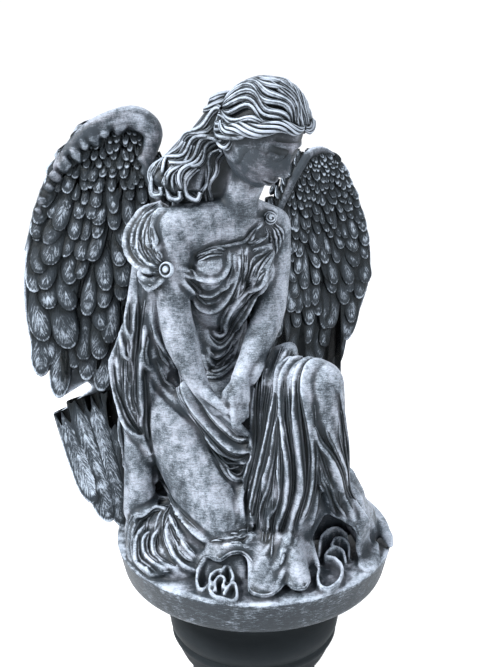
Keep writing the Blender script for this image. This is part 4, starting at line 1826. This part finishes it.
def join_details(body, shells):
    """Join the shells to the body, which stays the object."""
    mesh = shells_mesh(shells, "feathers and hair")
    write_crests(mesh, 0.5)
    extra = from_mesh(mesh, "feathers and hair")
    bpy.ops.object.select_all(action="DESELECT")
    extra.select_set(True)
    body.select_set(True)
    bpy.context.view_layer.objects.active = body
    bpy.ops.object.join()
    body.data.name = "angel_casting"


def make_angel(sizes, colours):
    """The whole casting: figure, dress, wings and round base in one piece."""
    body, ridges = draped_figure(sizes.grain)
    wings = (Wing(WING_ROOT_RIGHT, WING_TURN_RIGHT, -1, LEADING_RIGHT, LOWER_RIGHT, ROLL_RIGHT),
             Wing(WING_ROOT_LEFT, WING_TURN_LEFT, 1, LEADING_LEFT, LOWER_LEFT, ROLL_LEFT))
    add_thin_parts(body, wings, sizes)
    shells = crisp_details(body, ridges, wings, sizes.wing_sheet)
    reduce_facets(body, sizes.triangles - sum(len(face) - 2 for face in shells.faces))
    join_details(body, shells)
    move_corners(body.data, corners_of(body.data) + (0, -BASE_BEHIND, BASE_TOP))
    write_shelter(body.data)
    smooth_shade(body.data)
    body.data.materials.clear()
    body.data.materials.append(weathered_casting(colours))
    return body


# The pedestal's profile from its top down: (depth below the top, radius)
PEDESTAL_HEAD = ((0.0, 0.1415), (0.0015, 0.1430), (0.0070, 0.1430), (0.0110, 0.1400), (0.0200, 0.1300),
                 (0.0350, 0.1180), (0.0440, 0.1152), (0.0520, 0.1162), (0.0620, 0.1205), (0.0720, 0.1245),
                 (0.0820, 0.1265), (0.0920, 0.1250), (0.0980, 0.1215), (0.1000, 0.1202), (0.1025, 0.1205),
                 (0.1050, 0.1222), (0.1080, 0.1228), (0.1108, 0.1216), (0.1125, 0.1195), (0.1250, 0.1148),
                 (0.1370, 0.1095), (0.1470, 0.1030), (0.1560, 0.0978), (0.1650, 0.0946), (0.1750, 0.0931),
                 (0.1940, 0.0934))


def make_pedestal(colours):
    """The turned pedestal, its rings rounded."""
    top = PEDESTAL_HEIGHT
    foot = ((0.0, 0.0), (0.1285, 0.0), (0.130, 0.0015), (0.130, 0.024), (0.1285, 0.0255), (0.116, 0.028),
            (0.104, 0.033), (0.096, 0.040), (0.0934, 0.048))
    head = tuple((radius, top - depth) for depth, radius in reversed(PEDESTAL_HEAD))
    corners, faces = lathe(foot + head + ((0.0, top),), 128)
    mesh = bpy.data.meshes.new("pedestal_casting")
    mesh.from_pydata(corners.tolist(), [], faces)
    pedestal = from_mesh(mesh, "pedestal_casting")
    write_crests(pedestal.data)
    smooth_shade(pedestal.data)
    pedestal.data.materials.append(dark_casting(colours))
    return pedestal


CAMERA_SIDE = -0.006         # to the right of the statue's axis
CAMERA_RISE = 0.650          # above the top of the round base
LAMPS = (                    # name, place, size and power
    ("key", (-2.0, -0.9, 2.5), 0.6, 150),
    ("fill", (1.7, -1.3, 2.3), 0.9, 40),
    ("rim", (0.9, 1.4, 2.6), 1.2, 12),
)
LIT_PLACE = (0, 0, 0.6)      # what the lamps point at
# The floor's profile, from its middle out and up into the backdrop
FLOOR = ((0.0, -0.1), (9.2, -0.1), (9.2, 6.0), (9.0, 6.0), (9.0, 3.0), (8.5, 1.5), (7.5, 0.5), (6.0, 0.0),
         (0.0, 0.0))


def lay_floor():
    corners, faces = lathe(FLOOR, 96)
    mesh = bpy.data.meshes.new("floor")
    mesh.from_pydata(corners.tolist(), [], faces)
    floor = from_mesh(mesh, "floor")
    smooth_shade(mesh)
    mesh.materials.append(pale_floor())
    return floor


def light_studio(scene):
    """A pale sky all round, and the soft lamps."""
    world = bpy.data.worlds.new("studio")
    scene.world = world
    world.use_nodes = True
    Value.tree = world.node_tree
    way = Value(Value.node("ShaderNodeTexCoord").outputs["Generated"])
    sky = mixed(height_of(way).between(0.05, 1.0), (0.92, 0.94, 0.96, 1.0), (0.85, 0.90, 0.98, 1.0))
    link(sky, world.node_tree.nodes["Background"], "Color")
    scene.view_settings.view_transform = "Standard"
    for lamp in LAMPS:
        soft_lamp(*lamp)


def place_camera(scene, stage):
    lens = bpy.data.cameras.new("camera")
    lens.sensor_width = 36
    lens.sensor_fit = "VERTICAL"
    lens.sensor_height = 36
    lens.lens = stage.lens
    camera = bpy.data.objects.new("camera", lens)
    scene.collection.objects.link(camera)
    camera.location = (CAMERA_SIDE, -stage.distance, BASE_TOP + CAMERA_RISE)
    camera.rotation_euler = (math.pi / 2 - stage.pitch, 0, 0)
    scene.camera = camera


def soft_lamp(name, place, size, power):
    data = bpy.data.lights.new(name, "AREA")
    data.shape = "DISK"
    data.size = size
    data.energy = power
    lamp = bpy.data.objects.new(name, data)
    bpy.context.scene.collection.objects.link(lamp)
    lamp.location = place
    lamp.rotation_euler = (Vector(LIT_PLACE) - Vector(place)).to_track_quat("-Z", "Y").to_euler()


class STATUE_OT_cast_angel(bpy.types.Operator):
    """Model the angel's casting and paint it"""
    bl_idname = "statue.cast_angel"
    bl_label = "Cast the angel"

    def execute(self, context):
        piece = make_angel(context.scene.angel_sizes, context.scene.patina_colours)
        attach(piece, "root")
        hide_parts("angel")
        return {"FINISHED"}


class STATUE_OT_turn_pedestal(bpy.types.Operator):
    """Turn the pedestal and paint it"""
    bl_idname = "statue.turn_pedestal"
    bl_label = "Turn the pedestal"

    def execute(self, context):
        piece = make_pedestal(context.scene.patina_colours)
        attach(piece, "root")
        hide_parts("pedestal")
        return {"FINISHED"}


class STATUE_OT_set_stage(bpy.types.Operator):
    """Lay the floor, and place the lamps and the camera"""
    bl_idname = "statue.set_stage"
    bl_label = "Set the stage"

    def execute(self, context):
        lay_floor()
        light_studio(context.scene)
        place_camera(context.scene, context.scene.stage_settings)
        return {"FINISHED"}


class STATUE_PT_panel(bpy.types.Panel):
    """Sizes, colours and steps of the garden angel"""
    bl_label = "Garden angel"
    bl_idname = "STATUE_PT_panel"
    bl_space_type = "VIEW_3D"
    bl_region_type = "UI"
    bl_category = "Garden angel"

    def draw(self, context):
        layout = self.layout
        for group in (context.scene.angel_sizes, context.scene.patina_colours, context.scene.stage_settings):
            for setting in group.bl_rna.properties:
                if setting.identifier not in ("name", "rna_type"):
                    layout.prop(group, setting.identifier)
        for step in STEPS:
            layout.operator(step.bl_idname)


STEPS = (STATUE_OT_cast_angel, STATUE_OT_turn_pedestal, STATUE_OT_set_stage)
CLASSES = (AngelSizes, PatinaColours, StageSettings, *STEPS, STATUE_PT_panel)


def register():
    for entry in CLASSES:
        bpy.utils.register_class(entry)
    bpy.types.Scene.angel_sizes = PointerProperty(type=AngelSizes)
    bpy.types.Scene.patina_colours = PointerProperty(type=PatinaColours)
    bpy.types.Scene.stage_settings = PointerProperty(type=StageSettings)


def unregister():
    del bpy.types.Scene.angel_sizes
    del bpy.types.Scene.patina_colours
    del bpy.types.Scene.stage_settings
    for entry in reversed(CLASSES):
        bpy.utils.unregister_class(entry)


def main():
    register()
    bpy.ops.statue.cast_angel()
    bpy.ops.statue.turn_pedestal()
    bpy.ops.statue.set_stage()


if __name__ == "__main__":
    main()
